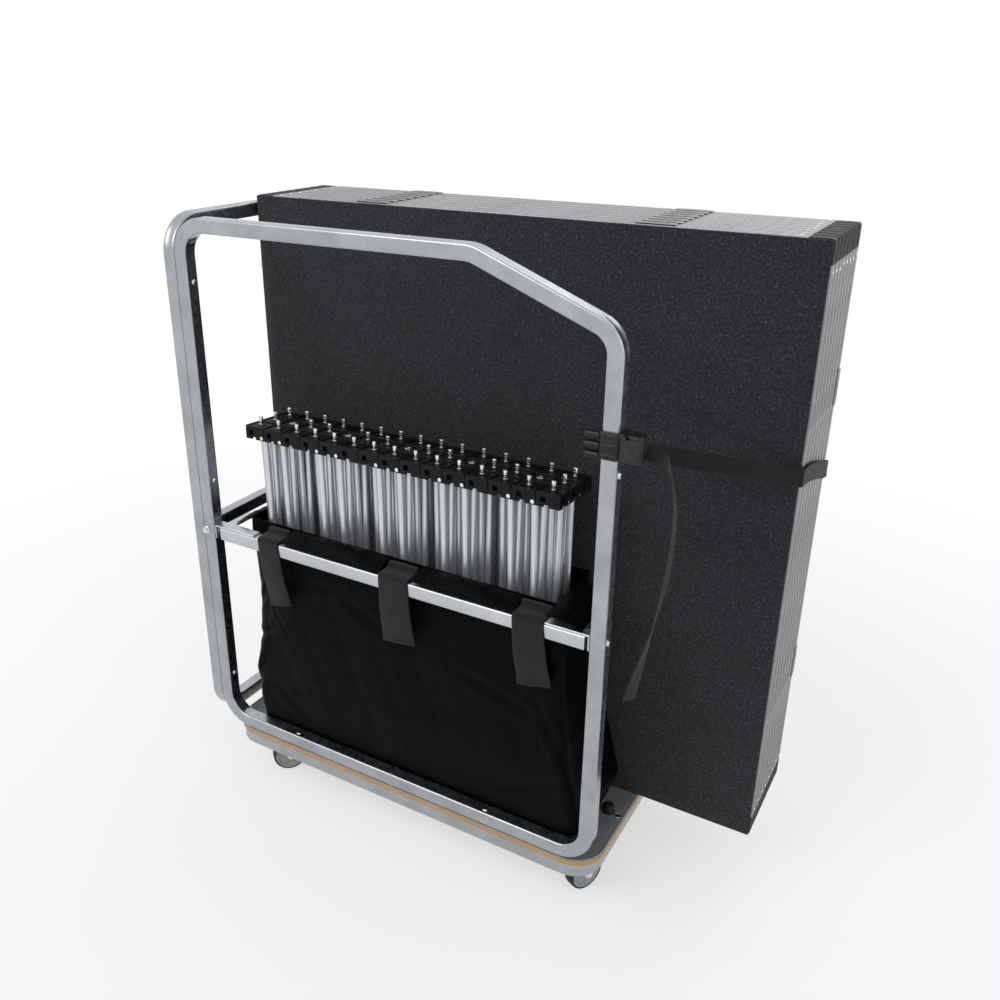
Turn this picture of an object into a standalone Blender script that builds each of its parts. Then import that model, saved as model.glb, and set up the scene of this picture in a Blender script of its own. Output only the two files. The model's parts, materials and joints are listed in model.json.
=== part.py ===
import math
import bmesh
import bpy
from mathutils import Matrix, Vector

# Driving dimensions, metres. X runs along the decks and Y from the bag towards the decks.
# The pieces are laid out from the middle of the board and the front deck's face, with the floor at 0,
# and hang on an empty that puts the origin in the middle of the whole part's foot.
GAP = 0.0003
TUBE = 0.025
TUBE_CHAMFER = 0.0025
BEND_R = 0.052

WHEEL_D, WHEEL_W, HUB_R, AXLE_R, TRAIL = 0.068, 0.023, 0.030, 0.004, 0.0255
WHEEL_SIDES = 20
CROWN_T, CROWN_R, CROWN_CLEAR = 0.003, 0.0215, 0.0029
HEAD_R, HEAD_DROP, CHEEK_T = 0.020, 0.001, 0.0024
PLATE_SIDE, PLATE_T, PLATE_SET = 0.066, 0.003, 0.0005

BOARD_T, BOARD_R = 0.0125, 0.055
FRAME_H, FRAME_OVERHANG, FRAME_INSET = 0.987, 0.0175, 0.002
SHOULDER_RUN, SHOULDER_DROP = 0.2203, 0.0868
END_BAR_RISE, RAIL_RISE, RAIL_SIDE = 0.4175, 0.419, 0.024
BRACKET_T, BRACKET_W, BRACKET_LEG = 0.003, 0.020, 0.078
BUTTON_R, BUTTON_H = 0.011, 0.016

RISERS, SIDE_HUBS = 5, 3
HUB_PITCH_X, HUB_PITCH_Y, HUB_CLEAR, HUB_H = 0.0411, 0.0395, 0.0004, 0.028
RISER_H, LEG_D, LEG_CROSS, LEG_EDGE = 0.618, 0.0118, 0.0062, 0.0085
PIVOT_R, STUD_R, STUD_FOOT_R, STUD_FOOT_H, STUD_H, DISC_R = 0.003, 0.0044, 0.0062, 0.0028, 0.017, 0.0068
SLOT_W, SLOT_D, SLOT_H = 0.0132, 0.0045, 0.017
ROOM_LEFT, ROOM_RIGHT, ROOM_FRONT, ROOM_BACK = 0.0560, 0.0770, 0.0210, 0.0422
BAG_SKIN, BAG_RIM = 0.0015, 0.028
TAB_T, TAB_DROP, TAB_W, TAB_BACK, TAB_RISE = 0.0018, 0.114, 0.055, 0.0055, 0.002
# Each tab's place along the risers, and its width as a share of the left one's.
TABS = {"bag_tab_left": (0.12, 1.0), "bag_tab_middle": (0.5555, 1.27), "bag_tab_right": (0.9595, 0.945)}

DECKS = 8
DECK_SIDE, DECK_T, DECK_GAP, DECK_CLEAR = 1.0, 0.0236, 0.0003, 0.0018
CARPET_T, CORE_T, EDGE_W, CORNER_LEG, TENON_IN = 0.006, 0.010, 0.018, 0.035, 0.002
LINK_LEN, LINK_RAISE = 0.060, 0.002

STRAP_W, STRAP_T, STRAP_OFF, STRAP_STEP, STRAP_DROP, STRAP_FALL = 0.028, 0.0016, 0.0018, 0.028, 0.074, 0.053
CLIP_RISE, CLIP_H, CLIP_WALL, CLIP_NOSE = 0.737, 0.042, 0.004, 0.0343
RIBS, RIB_H, RIB_PITCH, RIB_REACH, RIB_DEEP = 3, 0.009, 0.0145, 0.0255, 0.0125
LEVER_T, LEVER_LEN, LEVER_PIN_R = 0.0044, 0.0275, 0.0018
TAIL_DROP, TAIL_REACH = 0.402, 0.0452

# Worked out from the sizes above.
AXLE_Z = WHEEL_D / 2 * math.cos(math.pi / WHEEL_SIDES)
CROWN_LOW = WHEEL_D + CROWN_CLEAR
HEAD_LOW = CROWN_LOW + CROWN_T + GAP
TUBE_LOW = HEAD_LOW + HEAD_DROP
BOARD_LOW = TUBE_LOW + TUBE + GAP
BOARD_TOP = BOARD_LOW + BOARD_T
BLOCK_X, BLOCK_Y = HUB_PITCH_X * SIDE_HUBS * RISERS, HUB_PITCH_Y * SIDE_HUBS
BOARD_X = ROOM_LEFT + BLOCK_X + ROOM_RIGHT + 2 * TUBE - FRAME_OVERHANG + FRAME_INSET
BOARD_Y = 2 * (ROOM_BACK + BLOCK_Y + ROOM_FRONT + TUBE)
FRONT_FACE = -BOARD_Y / 2
FRONT_Y = FRONT_FACE + TUBE / 2
UPRIGHT_L = -BOARD_X / 2 - FRAME_OVERHANG + TUBE / 2
UPRIGHT_R = BOARD_X / 2 - FRAME_INSET - TUBE / 2
END_FRAME_X = UPRIGHT_L - TUBE - GAP
RAIL_LOW = BOARD_TOP + GAP + TUBE / 2
FRAME_TOP = BOARD_TOP + FRAME_H - TUBE / 2
RAIL_Z = BOARD_TOP + RAIL_RISE
BLOCK_X0, BLOCK_Y0 = UPRIGHT_L + TUBE / 2 + ROOM_LEFT, -ROOM_BACK - BLOCK_Y
RISER_BASE = BOARD_TOP + GAP + BAG_SKIN + GAP
HUB_TOP = RISER_BASE + RISER_H
DECK_LEFT = END_FRAME_X + TUBE / 2 + DECK_CLEAR
DECK_LOW = BOARD_TOP + GAP
DECK_PITCH = DECK_T + DECK_GAP
STACK_BACK = (DECKS - 1) * DECK_PITCH + DECK_T
CLIP_Z = BOARD_TOP + CLIP_RISE
CLIP_PIN = (UPRIGHT_R + TUBE / 2 + 0.011, FRONT_FACE - 0.0085)
STRAP_RIGHT = DECK_LEFT + DECK_SIDE + LINK_RAISE + STRAP_OFF
STRAP_LEFT = END_FRAME_X - TUBE / 2 - 0.0013
STRAP_BEHIND = max(STACK_BACK + 2 * STRAP_OFF, TUBE / 2 - FRONT_Y + 0.0013)
STRAP_BULGE = 0.0012
ORIGIN_X = (STRAP_RIGHT + STRAP_BULGE + STRAP_LEFT) / 2
ORIGIN_Y = (STRAP_BEHIND + STRAP_T / 2 + CLIP_PIN[1] - 2 * LEVER_PIN_R) / 2

# Swivel axis from the nearest corner of the board, and the way the wheel trails, in degrees.
CASTERS = {
    "front_right": (1, -1, 0.0529, 0.0496, 65.0),
    "front_left": (-1, -1, 0.1128, 0.0762, 230.0),
    "rear_right": (1, 1, 0.0529, 0.0496, 200.0),
    "rear_left": (-1, 1, 0.087, 0.0646, 70.0),
}

# Colour, roughness and metallic value of each material.
LOOKS = {
    "plated steel": ((0.48, 0.50, 0.53), 0.35, 1.0),
    "deck aluminium": ((0.62, 0.63, 0.63), 0.40, 1.0),
    "riser aluminium": ((0.52, 0.54, 0.57), 0.45, 0.6),
    "laminate board": ((0.20, 0.205, 0.215), 0.5, 0.0),
    "deck carpet": ((0.027, 0.026, 0.031), 1.0, 0.0),
    "black plastic": ((0.010, 0.010, 0.011), 0.45, 0.0),
    "bag nylon": ((0.003, 0.003, 0.003), 0.55, 0.0),
    "webbing": ((0.024, 0.024, 0.027), 0.8, 0.0),
    "grey plastic": ((0.28, 0.29, 0.30), 0.45, 0.0),
    "black rubber": ((0.015, 0.015, 0.016), 0.7, 0.0),
}


for old in list(bpy.data.objects):
    bpy.data.objects.remove(old)
PARTS = bpy.data.collections.new("portable_stage")
WORK = bpy.data.collections.new("workpieces and cutters")
for group in (PARTS, WORK):
    bpy.context.scene.collection.children.link(group)


def caster_axis(place):
    sx, sy, dx, dy, heading = CASTERS[place]
    return sx * (BOARD_X / 2 - dx), sy * (BOARD_Y / 2 - dy), heading


def add(name, data, place=Matrix()):
    obj = bpy.data.objects.new(name, data)
    WORK.objects.link(obj)
    obj.matrix_world = place
    return obj


def remove(obj):
    data = obj.data
    bpy.data.objects.remove(obj)
    if data.users == 0:
        (bpy.data.meshes if isinstance(data, bpy.types.Mesh) else bpy.data.curves).remove(data)


def empty(name, location, heading, parent):
    # A parent at a joint's axis, turned the way its pieces point.
    obj = bpy.data.objects.new(name, None)
    PARTS.objects.link(obj)
    obj.empty_display_size = 0.05
    obj.location = location
    obj.rotation_euler.z = math.radians(heading)
    obj.parent = parent
    return obj


def material(kind):
    made = bpy.data.materials.get(kind)
    if made is None:
        colour, roughness, metallic = LOOKS[kind]
        made = bpy.data.materials.new(kind)
        made.use_nodes = True
        shader = made.node_tree.nodes["Principled BSDF"]
        shader.inputs["Base Color"].default_value = (*colour, 1)
        shader.inputs["Roughness"].default_value = roughness
        shader.inputs["Metallic"].default_value = metallic
        made.diffuse_color = (*colour, 1)
    return made


def finished(obj, name, kind, parent, origin=None):
    # A finished piece: its name, its material, its parent, and its origin where one is given.
    if origin is not None:
        obj.data.transform(Matrix.Translation(-Vector(origin)) @ obj.matrix_basis)
        obj.matrix_basis = Matrix.Translation(origin)
    obj.name = name
    obj.data.name = name
    obj.data.materials.clear()
    obj.data.materials.append(material(kind))
    obj.data.shade_smooth()
    obj.data.set_sharp_from_angle(angle=math.radians(30))
    WORK.objects.unlink(obj)
    PARTS.objects.link(obj)
    obj.parent = parent
    return obj


def copies(source, names, step):
    # The same mesh again at equal steps.
    for k, name in enumerate(names):
        obj = bpy.data.objects.new(name, source.data)
        PARTS.objects.link(obj)
        obj.matrix_basis = Matrix.Translation(Vector(step) * k) @ source.matrix_basis
        obj.parent = source.parent
    bpy.data.objects.remove(source)


def block(name, lo, hi):
    lo, hi = Vector(lo), Vector(hi)
    work = bmesh.new()
    bmesh.ops.create_cube(work, size=1.0, matrix=Matrix.Diagonal((*(hi - lo), 1.0)))
    mesh = bpy.data.meshes.new(name)
    work.to_mesh(mesh)
    work.free()
    return add(name, mesh, Matrix.Translation((lo + hi) / 2))


def rod(name, start, end, radius, sides=6, turn=0.0):
    start, end = Vector(start), Vector(end)
    work = bmesh.new()
    bmesh.ops.create_cone(work, cap_ends=True, segments=sides, radius1=radius, radius2=radius, depth=(end - start).length)
    mesh = bpy.data.meshes.new(name)
    work.to_mesh(mesh)
    work.free()
    along = (end - start).to_track_quat("Z", "Y").to_matrix().to_4x4()
    return add(name, mesh, Matrix.Translation((start + end) / 2) @ along @ Matrix.Rotation(turn, 4, "Z"))


def baked(obj):
    # The piece as a plain mesh, with its modifiers applied and a curve's loose caps welded.
    bpy.context.view_layer.update()
    graph = bpy.context.evaluated_depsgraph_get()
    mesh = bpy.data.meshes.new_from_object(obj.evaluated_get(graph))
    if obj.type == "CURVE":
        work = bmesh.new()
        work.from_mesh(mesh)
        bmesh.ops.remove_doubles(work, verts=work.verts, dist=0.00001)
        bmesh.ops.recalc_face_normals(work, faces=work.faces)
        work.to_mesh(mesh)
        work.free()
    made = add(obj.name, mesh, obj.matrix_world.copy())
    remove(obj)
    return made


def combine(obj, others, operation):
    for other in others:
        mod = obj.modifiers.new("join", "BOOLEAN")
        mod.operation = operation
        mod.solver = "EXACT"
        mod.object = other
        obj = baked(obj)
        remove(other)
    return obj


def turned(name, profile, sides, place, ring=False):
    # A profile of radius and height, run down its outer side, and carried round z.
    mesh = bpy.data.meshes.new(name)
    edges = [(k, k + 1) for k in range(len(profile) - 1)]
    if ring:
        edges.append((len(profile) - 1, 0))
    mesh.from_pydata([(r, 0.0, h) for r, h in profile], edges, [])
    obj = add(name, mesh, place)
    screw = obj.modifiers.new("turn", "SCREW")
    screw.steps = screw.render_steps = sides
    screw.use_merge_vertices = True
    screw.merge_threshold = 0.00001
    return baked(obj)


def rounded(corners, radii, steps):
    # A closed outline whose corners are arcs that touch both sides.
    points = []
    count = len(corners)
    for i in range(count):
        p = Vector(corners[i])
        before = (Vector(corners[i - 1]) - p).normalized()
        after = (Vector(corners[(i + 1) % count]) - p).normalized()
        angle = before.angle(after)
        reach = radii[i] / math.tan(angle / 2)
        middle = (before + after).normalized() * (radii[i] / math.sin(angle / 2))
        centre = p + middle
        a, b = p + before * reach - centre, p + after * reach - centre
        sweep = math.pi - angle
        sign = 1 if a.x * b.y - a.y * b.x > 0 else -1
        for k in range(steps + 1):
            t = sign * sweep * k / steps
            c, s = math.cos(t), math.sin(t)
            points.append(centre + Vector((a.x * c - a.y * s, a.x * s + a.y * c)))
    return points


def outline(name, points, place=Matrix()):
    # A closed flat curve through the points.
    curve = bpy.data.curves.new(name, "CURVE")
    curve.dimensions = "2D"
    curve.fill_mode = "NONE"
    spline = curve.splines.new("POLY")
    spline.points.add(len(points) - 1)
    for point, (x, y) in zip(spline.points, points):
        point.co = (x, y, 0.0, 1.0)
    spline.use_cyclic_u = True
    return add(name, curve, place)


def plate(name, points, thick, place=Matrix()):
    # A flat outline with half its thickness to each side.
    obj = outline(name, points, place)
    obj.data.fill_mode = "BOTH"
    obj.data.extrude = thick / 2
    return baked(obj)


def square_tube(name, path, side, place, steps):
    # A bent square tube. Each section is square to the mean of its two runs, so it is drawn wider by the
    # cosine of half a bend step.
    h, c = side / 2, TUBE_CHAMFER
    wide = 1 / math.cos(math.pi / 4 / steps)
    section = outline("section", [(x * wide, y) for x, y in (
        (-h, -h + c), (-h + c, -h), (h - c, -h), (h, -h + c), (h, h - c), (h - c, h), (-h + c, h), (-h, h - c))])
    obj = outline(name, path, place)
    obj.data.bevel_mode = "OBJECT"
    obj.data.bevel_object = section
    tube = baked(obj)
    remove(section)
    return tube


def loft(name, sections, shut):
    # Faces between unlike closed sections, with the first one shut, and the last one too where asked.
    count = len(sections[0])
    faces = []
    for s in range(len(sections) - 1):
        for i in range(count):
            j = (i + 1) % count
            faces.append((s * count + i, s * count + j, (s + 1) * count + j, (s + 1) * count + i))
    faces.append(tuple(reversed(range(count))))
    if shut:
        faces.append(tuple(range((len(sections) - 1) * count, len(sections) * count)))
    mesh = bpy.data.meshes.new(name)
    mesh.from_pydata([tuple(v) for section in sections for v in section], [], faces)
    return add(name, mesh)


def thickened(obj, thick, offset):
    shell = obj.modifiers.new("thickness", "SOLIDIFY")
    shell.thickness = thick
    shell.offset = offset
    shell.use_even_offset = offset != 0
    return baked(obj)


def webbing(name, points, widths, width, thick):
    # A strip along the points, as wide each way as its width's direction says, then given its thickness.
    points = [Vector(p) for p in points]
    verts = []
    for i, p in enumerate(points):
        tangent = (points[min(i + 1, len(points) - 1)] - points[max(i - 1, 0)]).normalized()
        wide = Vector(widths[i])
        wide = (wide - tangent * wide.dot(tangent)).normalized() * (width / 2)
        verts += [p - wide, p + wide]
    faces = [(2 * k, 2 * k + 1, 2 * k + 3, 2 * k + 2) for k in range(len(points) - 1)]
    mesh = bpy.data.meshes.new(name)
    mesh.from_pydata(verts, [], faces)
    return thickened(add(name, mesh), thick, 0.0)


# A flat outline stood up in the plane of x and z, and in the plane of y and z.
UP_XZ = Matrix.Rotation(math.pi / 2, 4, "X")
UP_YZ = Matrix(((0, 0, 1, 0), (1, 0, 0, 0), (0, 1, 0, 0), (0, 0, 0, 1)))


def base_board(stage):
    x, y = BOARD_X / 2, BOARD_Y / 2
    points = rounded([(-x, -y), (x, -y), (x, y), (-x, y)], [BOARD_R] * 4, 5)
    board = plate("board", points, BOARD_T, Matrix.Translation((0, 0, BOARD_LOW + BOARD_T / 2)))
    finished(board, "base_board", "laminate board", stage)


def base_frame(stage):
    top = TUBE_LOW + TUBE
    edge = FRAME_INSET + TUBE / 2
    x, y = BOARD_X / 2 - edge, BOARD_Y / 2 - edge
    path = rounded([(-x, -y), (x, -y), (x, y), (-x, y)], [BOARD_R - edge] * 4, 4)
    tube = square_tube("tube", path, TUBE, Matrix.Translation((0, 0, top - TUBE / 2)), 4)
    parts = []
    for place in CASTERS:
        cx, cy, _ = caster_axis(place)
        ys = sorted((cy - math.copysign(PLATE_SIDE / 2, cy), math.copysign(y - TUBE / 4, cy)))
        low, high = top - PLATE_SET - PLATE_T, top - PLATE_SET
        parts.append(block("plate", (cx - PLATE_SIDE / 2, ys[0], low), (cx + PLATE_SIDE / 2, ys[1], high)))
        parts.append(rod("head", (cx, cy, HEAD_LOW), (cx, cy, top - 0.001), HEAD_R, 12))
    finished(combine(tube, parts, "UNION"), "base_frame", "plated steel", stage)


def front_frame(stage):
    corners = [(UPRIGHT_L, RAIL_LOW), (UPRIGHT_R, RAIL_LOW), (UPRIGHT_R, FRAME_TOP - SHOULDER_DROP),
               (UPRIGHT_R - SHOULDER_RUN, FRAME_TOP), (UPRIGHT_L, FRAME_TOP)]
    path = rounded(corners, [BEND_R, BEND_R, BEND_R * 0.85, BEND_R * 1.15, BEND_R], 5)
    tube = square_tube("tube", path, TUBE, Matrix.Translation((0, FRONT_Y, 0)) @ UP_XZ, 5)
    finished(tube, "front_frame", "plated steel", stage)


def end_frame(stage):
    y = -FRONT_Y
    path = rounded([(-y, RAIL_LOW), (y, RAIL_LOW), (y, FRAME_TOP), (-y, FRAME_TOP)], [BEND_R] * 4, 5)
    tube = square_tube("tube", path, TUBE, Matrix.Translation((END_FRAME_X, 0, 0)) @ UP_YZ, 5)
    h = TUBE / 2 - 0.001
    z = BOARD_TOP + END_BAR_RISE
    bar = block("bar", (END_FRAME_X - h, -y, z - h), (END_FRAME_X + h, y, z + h))
    finished(combine(tube, [bar], "UNION"), "end_frame", "plated steel", stage)


def bag_rail(stage):
    h = RAIL_SIDE / 2
    y0, y1 = FRONT_FACE, FRONT_FACE + RAIL_SIDE
    left, right = UPRIGHT_L + TUBE / 2 + GAP, UPRIGHT_R - TUBE / 2 - GAP
    low, high = RAIL_Z + h - 0.001, RAIL_Z + h + BRACKET_T
    rail = block("rail", (left + 0.0152, y0, RAIL_Z - h), (right - 0.0072, y1, RAIL_Z + h))
    parts = []
    for end, inward in ((left, 1), (right, -1)):
        leg = sorted((end, end + inward * (0.015 + BRACKET_LEG)))
        back = sorted((end + inward * 0.0145, end + inward * (0.0145 + BRACKET_W)))
        tab = sorted((end, end + inward * BRACKET_T))
        parts.append(block("leg", (leg[0], y0 + 0.002, low), (leg[1], y0 + 0.002 + BRACKET_W, high)))
        parts.append(block("back", (back[0], y0 + 0.003, low), (back[1], y0 + BRACKET_LEG, high)))
        parts.append(block("tab", (tab[0], y0 + 0.002, RAIL_Z - h), (tab[1], y0 + 0.002 + BRACKET_W, high)))
    finished(combine(rail, parts, "UNION"), "bag_rail", "deck aluminium", stage)


def rubber_button(stage):
    profile = [(0, BUTTON_H), (0.77 * BUTTON_R, BUTTON_H), (BUTTON_R, 0.75 * BUTTON_H), (BUTTON_R, 0), (0, 0)]
    place = Matrix.Translation((UPRIGHT_R - 0.0150, -ROOM_BACK - 0.0218, BOARD_TOP + GAP))
    finished(turned("button", profile, 12, place), "rubber_button", "black rubber", stage)


def riser_bag(stage):
    # Share of the bag's height, then the slack to the left, right, front and back of the risers, and the corner radius.
    shape = [
        (0.0, 0.0045, 0.0550, 0.0170, 0.0362, 0.022),
        (0.027, 0.0045, 0.0585, 0.0185, 0.0362, 0.023),
        (0.076, 0.0045, 0.0660, 0.0205, 0.0372, 0.024),
        (0.134, 0.0045, 0.0720, 0.0270, 0.0372, 0.025),
        (0.336, 0.0045, 0.0530, 0.0330, 0.0372, 0.024),
        (0.671, 0.0030, 0.0340, 0.0315, 0.0362, 0.022),
        (0.839, 0.0028, 0.0250, 0.0255, 0.0322, 0.020),
        (0.906, 0.0025, 0.0150, 0.0189, 0.0242, 0.016),
        (0.951, 0.0025, 0.0034, 0.0050, 0.0042, 0.006),
        (1.0, 0.0025, 0.0034, 0.0040, 0.0037, 0.006),
    ]
    low = BOARD_TOP + GAP
    high = RAIL_Z + BAG_RIM
    sections = []
    for share, left, right, front, back, r in shape:
        x0, x1 = BLOCK_X0 - left, BLOCK_X0 + BLOCK_X + right
        y0, y1 = BLOCK_Y0 - front, BLOCK_Y0 + BLOCK_Y + back
        sections.append([(p.x, p.y, low + (high - low) * share)
                         for p in rounded([(x0, y0), (x1, y0), (x1, y1), (x0, y1)], [r] * 4, 3)])
    finished(thickened(loft("bag", sections, False), BAG_SKIN, -1.0), "riser_bag", "bag nylon", stage)


def tabs(stage):
    top = RAIL_Z + RAIL_SIDE / 2 + BRACKET_T + GAP
    rim, t, rise = RAIL_Z + BAG_RIM - 3 * TAB_RISE, TAB_T, TAB_RISE
    back, face = BLOCK_Y0 - TAB_BACK, FRONT_FACE - 2 * GAP
    low, fold, rail_back = RAIL_Z - TAB_DROP, back - 4 * rise, FRONT_FACE + RAIL_SIDE + rise
    under = [(back, rim), (fold, rim + rise), (rail_back, top), (face, top), (face, low)]
    over = [(back, rim + t), (fold, rim + rise + t), (rail_back, top + t),
            (face - 0.4 * t, top + t), (face - t, top + 0.4 * t), (face - t, low)]
    for name, (share, wide) in TABS.items():
        x = BLOCK_X0 + BLOCK_X * share
        tab = plate("tab", under + over[::-1], TAB_W * wide, Matrix.Translation((x, 0, 0)) @ UP_YZ)
        finished(tab, name, "webbing", stage)


def strap(stage):
    right, left, behind = STRAP_RIGHT, STRAP_LEFT, STRAP_BEHIND
    back = STACK_BACK + STRAP_OFF * 2
    far, edge = END_FRAME_X + TUBE / 2, -FRONT_Y + TUBE / 2
    mid, low = CLIP_Z - STRAP_DROP, CLIP_Z - STRAP_DROP - STRAP_FALL
    start = Vector((UPRIGHT_R + TUBE / 2 + CLIP_NOSE + 0.0006, FRONT_FACE + 0.0346, CLIP_Z - 0.013))
    turn = Vector((right - 0.004, -0.0038, mid))
    pts = [start.lerp(turn, k / 6) for k in range(7)]
    pts += [Vector((right - 0.0012, -0.0018, mid - 0.0005)), Vector((right, 0.0025, mid - 0.001))]
    for k in range(1, 8):
        f = k / 8
        bulge = STRAP_BULGE * math.sin(math.pi * f)
        pts.append(Vector((right + bulge, 0.0025 + (STACK_BACK - 0.005) * f, mid - 0.001 - (mid - low) * f ** 1.4)))
    pts += [Vector((right, STACK_BACK + 0.0008, low + 0.001)), Vector((right - 0.0012, back - 0.0009, low + 0.0005)),
            Vector((right - 0.006, back, low))]
    for f in (0.33, 0.66, 1.0):
        pts.append(Vector((right - 0.006 + (far + STRAP_STEP - right + 0.006) * f, back, low)))
    pts += [Vector((far + 0.006, behind, low)), Vector((far - 0.002, behind, low)), Vector((left + 0.004, behind, low)),
            Vector((left + 0.0004, behind - 0.001, low)), Vector((left, behind - 0.004, low)),
            Vector((left, edge - TUBE + 0.0015, low)), Vector((left + 0.0006, edge - TUBE - 0.001, low)),
            Vector((left + 0.004, edge - TUBE - 0.0016, low)), Vector((far - 0.0016, edge - TUBE - 0.0016, low))]
    finished(webbing("strap", pts, [(0, 0, 1)] * len(pts), STRAP_W, STRAP_T), "cargo_strap", "webbing", stage)


def strap_tail(stage):
    nose = UPRIGHT_R + TUBE / 2 + CLIP_NOSE + 0.0026
    y = FRONT_FACE + 0.0086
    # Shares of the reach out from the clip and of the drop, and the way the webbing's width points.
    keys = [(0.0, 0.0, (0.0, 0.1, 1.0)), (0.248, 0.006, (-0.1, 0.35, 0.93)), (0.58, 0.033, (-0.3, 0.75, 0.6)),
            (0.823, 0.086, (-0.45, 0.85, 0.3)), (0.967, 0.183, (-0.5, 0.86, 0.1)), (1.0, 0.295, (-0.51, 0.86, 0.0)),
            (0.912, 0.462, (-0.50, 0.86, 0.0)), (0.662, 0.627, (-0.30, 0.95, 0.0)), (0.425, 0.766, (0.05, 1.0, 0.0)),
            (0.181, 0.893, (0.35, 0.93, 0.0)), (-0.013, 1.0, (0.55, 0.83, 0.0))]
    pts = [(nose + TAIL_REACH * out, y + 0.008 * min(1.0, share * 5), CLIP_Z - TAIL_DROP * share) for out, share, _ in keys]
    finished(webbing("tail", pts, [wide for _, _, wide in keys], STRAP_W * 0.9, STRAP_T), "strap_tail", "webbing", stage)


def clip(stage):
    z0, z1 = CLIP_Z - CLIP_H / 2, CLIP_Z + CLIP_H / 2
    x0, x1 = UPRIGHT_R - TUBE / 2, UPRIGHT_R + TUBE / 2
    y0, y1 = FRONT_Y - TUBE / 2, FRONT_Y + TUBE / 2
    w = CLIP_WALL
    body = block("band", (x0 - w, y0 - w, z0), (x1 + w, y1 + w, z1))
    parts = []
    for k in range(RIBS):
        low = z0 + 0.001 + k * RIB_PITCH
        parts.append(block("rib", (x0 - w - 0.0035, y0 - w - 0.0025, low), (x1 - w, y1 + w + 0.0015, low + RIB_H)))
        parts.append(block("finger", (x0 - RIB_REACH, y0 - w - 0.0021, low + 0.0004),
                           (x0 - w + 0.001, y0 - w - 0.0021 + RIB_DEEP, low + RIB_H - 0.0004)))
    end = x1 + CLIP_NOSE - 0.0088
    parts.append(block("nose", (x1 + w - 0.001, y0 - w, z0), (end + 0.003, y0 + 0.021, z1)))
    parts.append(rod("end", (end, y0 + 0.0085, z0), (end, y0 + 0.0085, z1), 0.0088, 12))
    pin, r = CLIP_PIN, LEVER_PIN_R
    for low in (z0, z1 - 0.004):
        parts.append(block("lug", (pin[0] - 2 * r, pin[1] - 2 * r, low), (pin[0] + 2 * r, y0 - w + 0.001, low + 0.004)))
    parts.append(rod("pin", (pin[0], pin[1], z0 + 0.002), (pin[0], pin[1], z1 - 0.002), r, 8))
    body = combine(body, parts, "UNION")
    hole = block("hole", (x0 - GAP, y0 - GAP, z0 - 0.01), (x1 + GAP, y1 + GAP, z1 + 0.01))
    finished(combine(body, [hole], "DIFFERENCE"), "clip_body", "black plastic", stage)

    low, high = z0 + 0.0045, z1 - 0.0045
    lever = block("lever", (pin[0] + 0.0005, pin[1] + 0.0012 - LEVER_T, low), (pin[0] + LEVER_LEN, pin[1] + 0.0012, high))
    lever = combine(lever, [rod("knuckle", (pin[0], pin[1], low), (pin[0], pin[1], high), 2 * r, 12)], "UNION")
    lever = combine(lever, [rod("bore", (pin[0], pin[1], low - 0.01), (pin[0], pin[1], high + 0.01), r + 0.0004, 8)], "DIFFERENCE")
    finished(lever, "clip_lever", "black plastic", stage, (*pin, CLIP_Z))


def square_ring(name, side_in, wide, front, back):
    # A square frame as wide as given, its outer side set in from the deck's edge, from front to back in depth.
    x0, x1, z0, z1 = DECK_LEFT + side_in, DECK_LEFT + DECK_SIDE - side_in, DECK_LOW + side_in, DECK_LOW + DECK_SIDE - side_in
    hole = block("hole", (x0 + wide, front - 0.01, z0 + wide), (x1 - wide, back + 0.01, z1 - wide))
    return combine(block(name, (x0, front, z0), (x1, back, z1)), [hole], "DIFFERENCE")


def decks(stage):
    front, w, leg = CARPET_T + GAP, EDGE_W, CORNER_LEG + GAP
    x0, x1 = DECK_LEFT, DECK_LEFT + DECK_SIDE
    z0, z1 = DECK_LOW, DECK_LOW + DECK_SIDE
    corners = [(ax, az) for ax in (-1, 1) for az in (-1, 1)]

    def corner_block(name, size, y0, y1, out=0.0):
        made = []
        for ax, az in corners:
            xs = sorted(((x0, x1)[ax > 0] + ax * out, (x0, x1)[ax > 0] - ax * size))
            zs = sorted(((z0, z1)[az > 0] + az * out, (z0, z1)[az > 0] - az * size))
            made.append(block(name, (xs[0], y0, zs[0]), (xs[1], y1, zs[1])))
        return made

    edge = square_ring("edge", 0.0, w, front, DECK_T)
    edge = combine(edge, corner_block("cut", leg, front - 0.01, DECK_T + 0.01, 0.01), "DIFFERENCE")
    parts = [square_ring("tenon", TENON_IN, w - 2 * TENON_IN, front + TENON_IN, DECK_T - GAP)]
    for share in (0.25, 0.75):
        mx, mz = x0 + DECK_SIDE * share, z0 + DECK_SIDE * share
        parts.append(block("link", (mx - LINK_LEN / 2, front + 0.0006, z1 - 0.0025), (mx + LINK_LEN / 2, DECK_T - 0.0006, z1 + LINK_RAISE)))
        parts.append(block("link", (x1 - 0.0025, front + 0.0006, mz - LINK_LEN / 2), (x1 + LINK_RAISE, DECK_T - 0.0006, mz + LINK_LEN / 2)))
    edge = finished(combine(edge, parts, "UNION"), "edge", "deck aluminium", stage)

    panel = block("panel", (x0, 0, z0), (x1, CARPET_T, z1))
    inner = w + GAP
    parts = [block("core", (x0 + inner, CARPET_T - 0.002, z0 + inner), (x1 - inner, CARPET_T + CORE_T, z1 - inner))]
    panel = combine(panel, parts + corner_block("corner", CORNER_LEG, CARPET_T - 0.003, DECK_T, -GAP), "UNION")
    channel = square_ring("channel", TENON_IN - GAP, w - 2 * (TENON_IN - GAP), front + TENON_IN - GAP, DECK_T + 0.004)
    panel = finished(combine(panel, [channel], "DIFFERENCE"), "panel", "deck carpet", stage)

    step = (0, DECK_PITCH, 0)
    copies(edge, [f"deck_{k + 1}_edge_frame" for k in range(DECKS)], step)
    copies(panel, [f"deck_{k + 1}_panel" for k in range(DECKS)], step)


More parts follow.
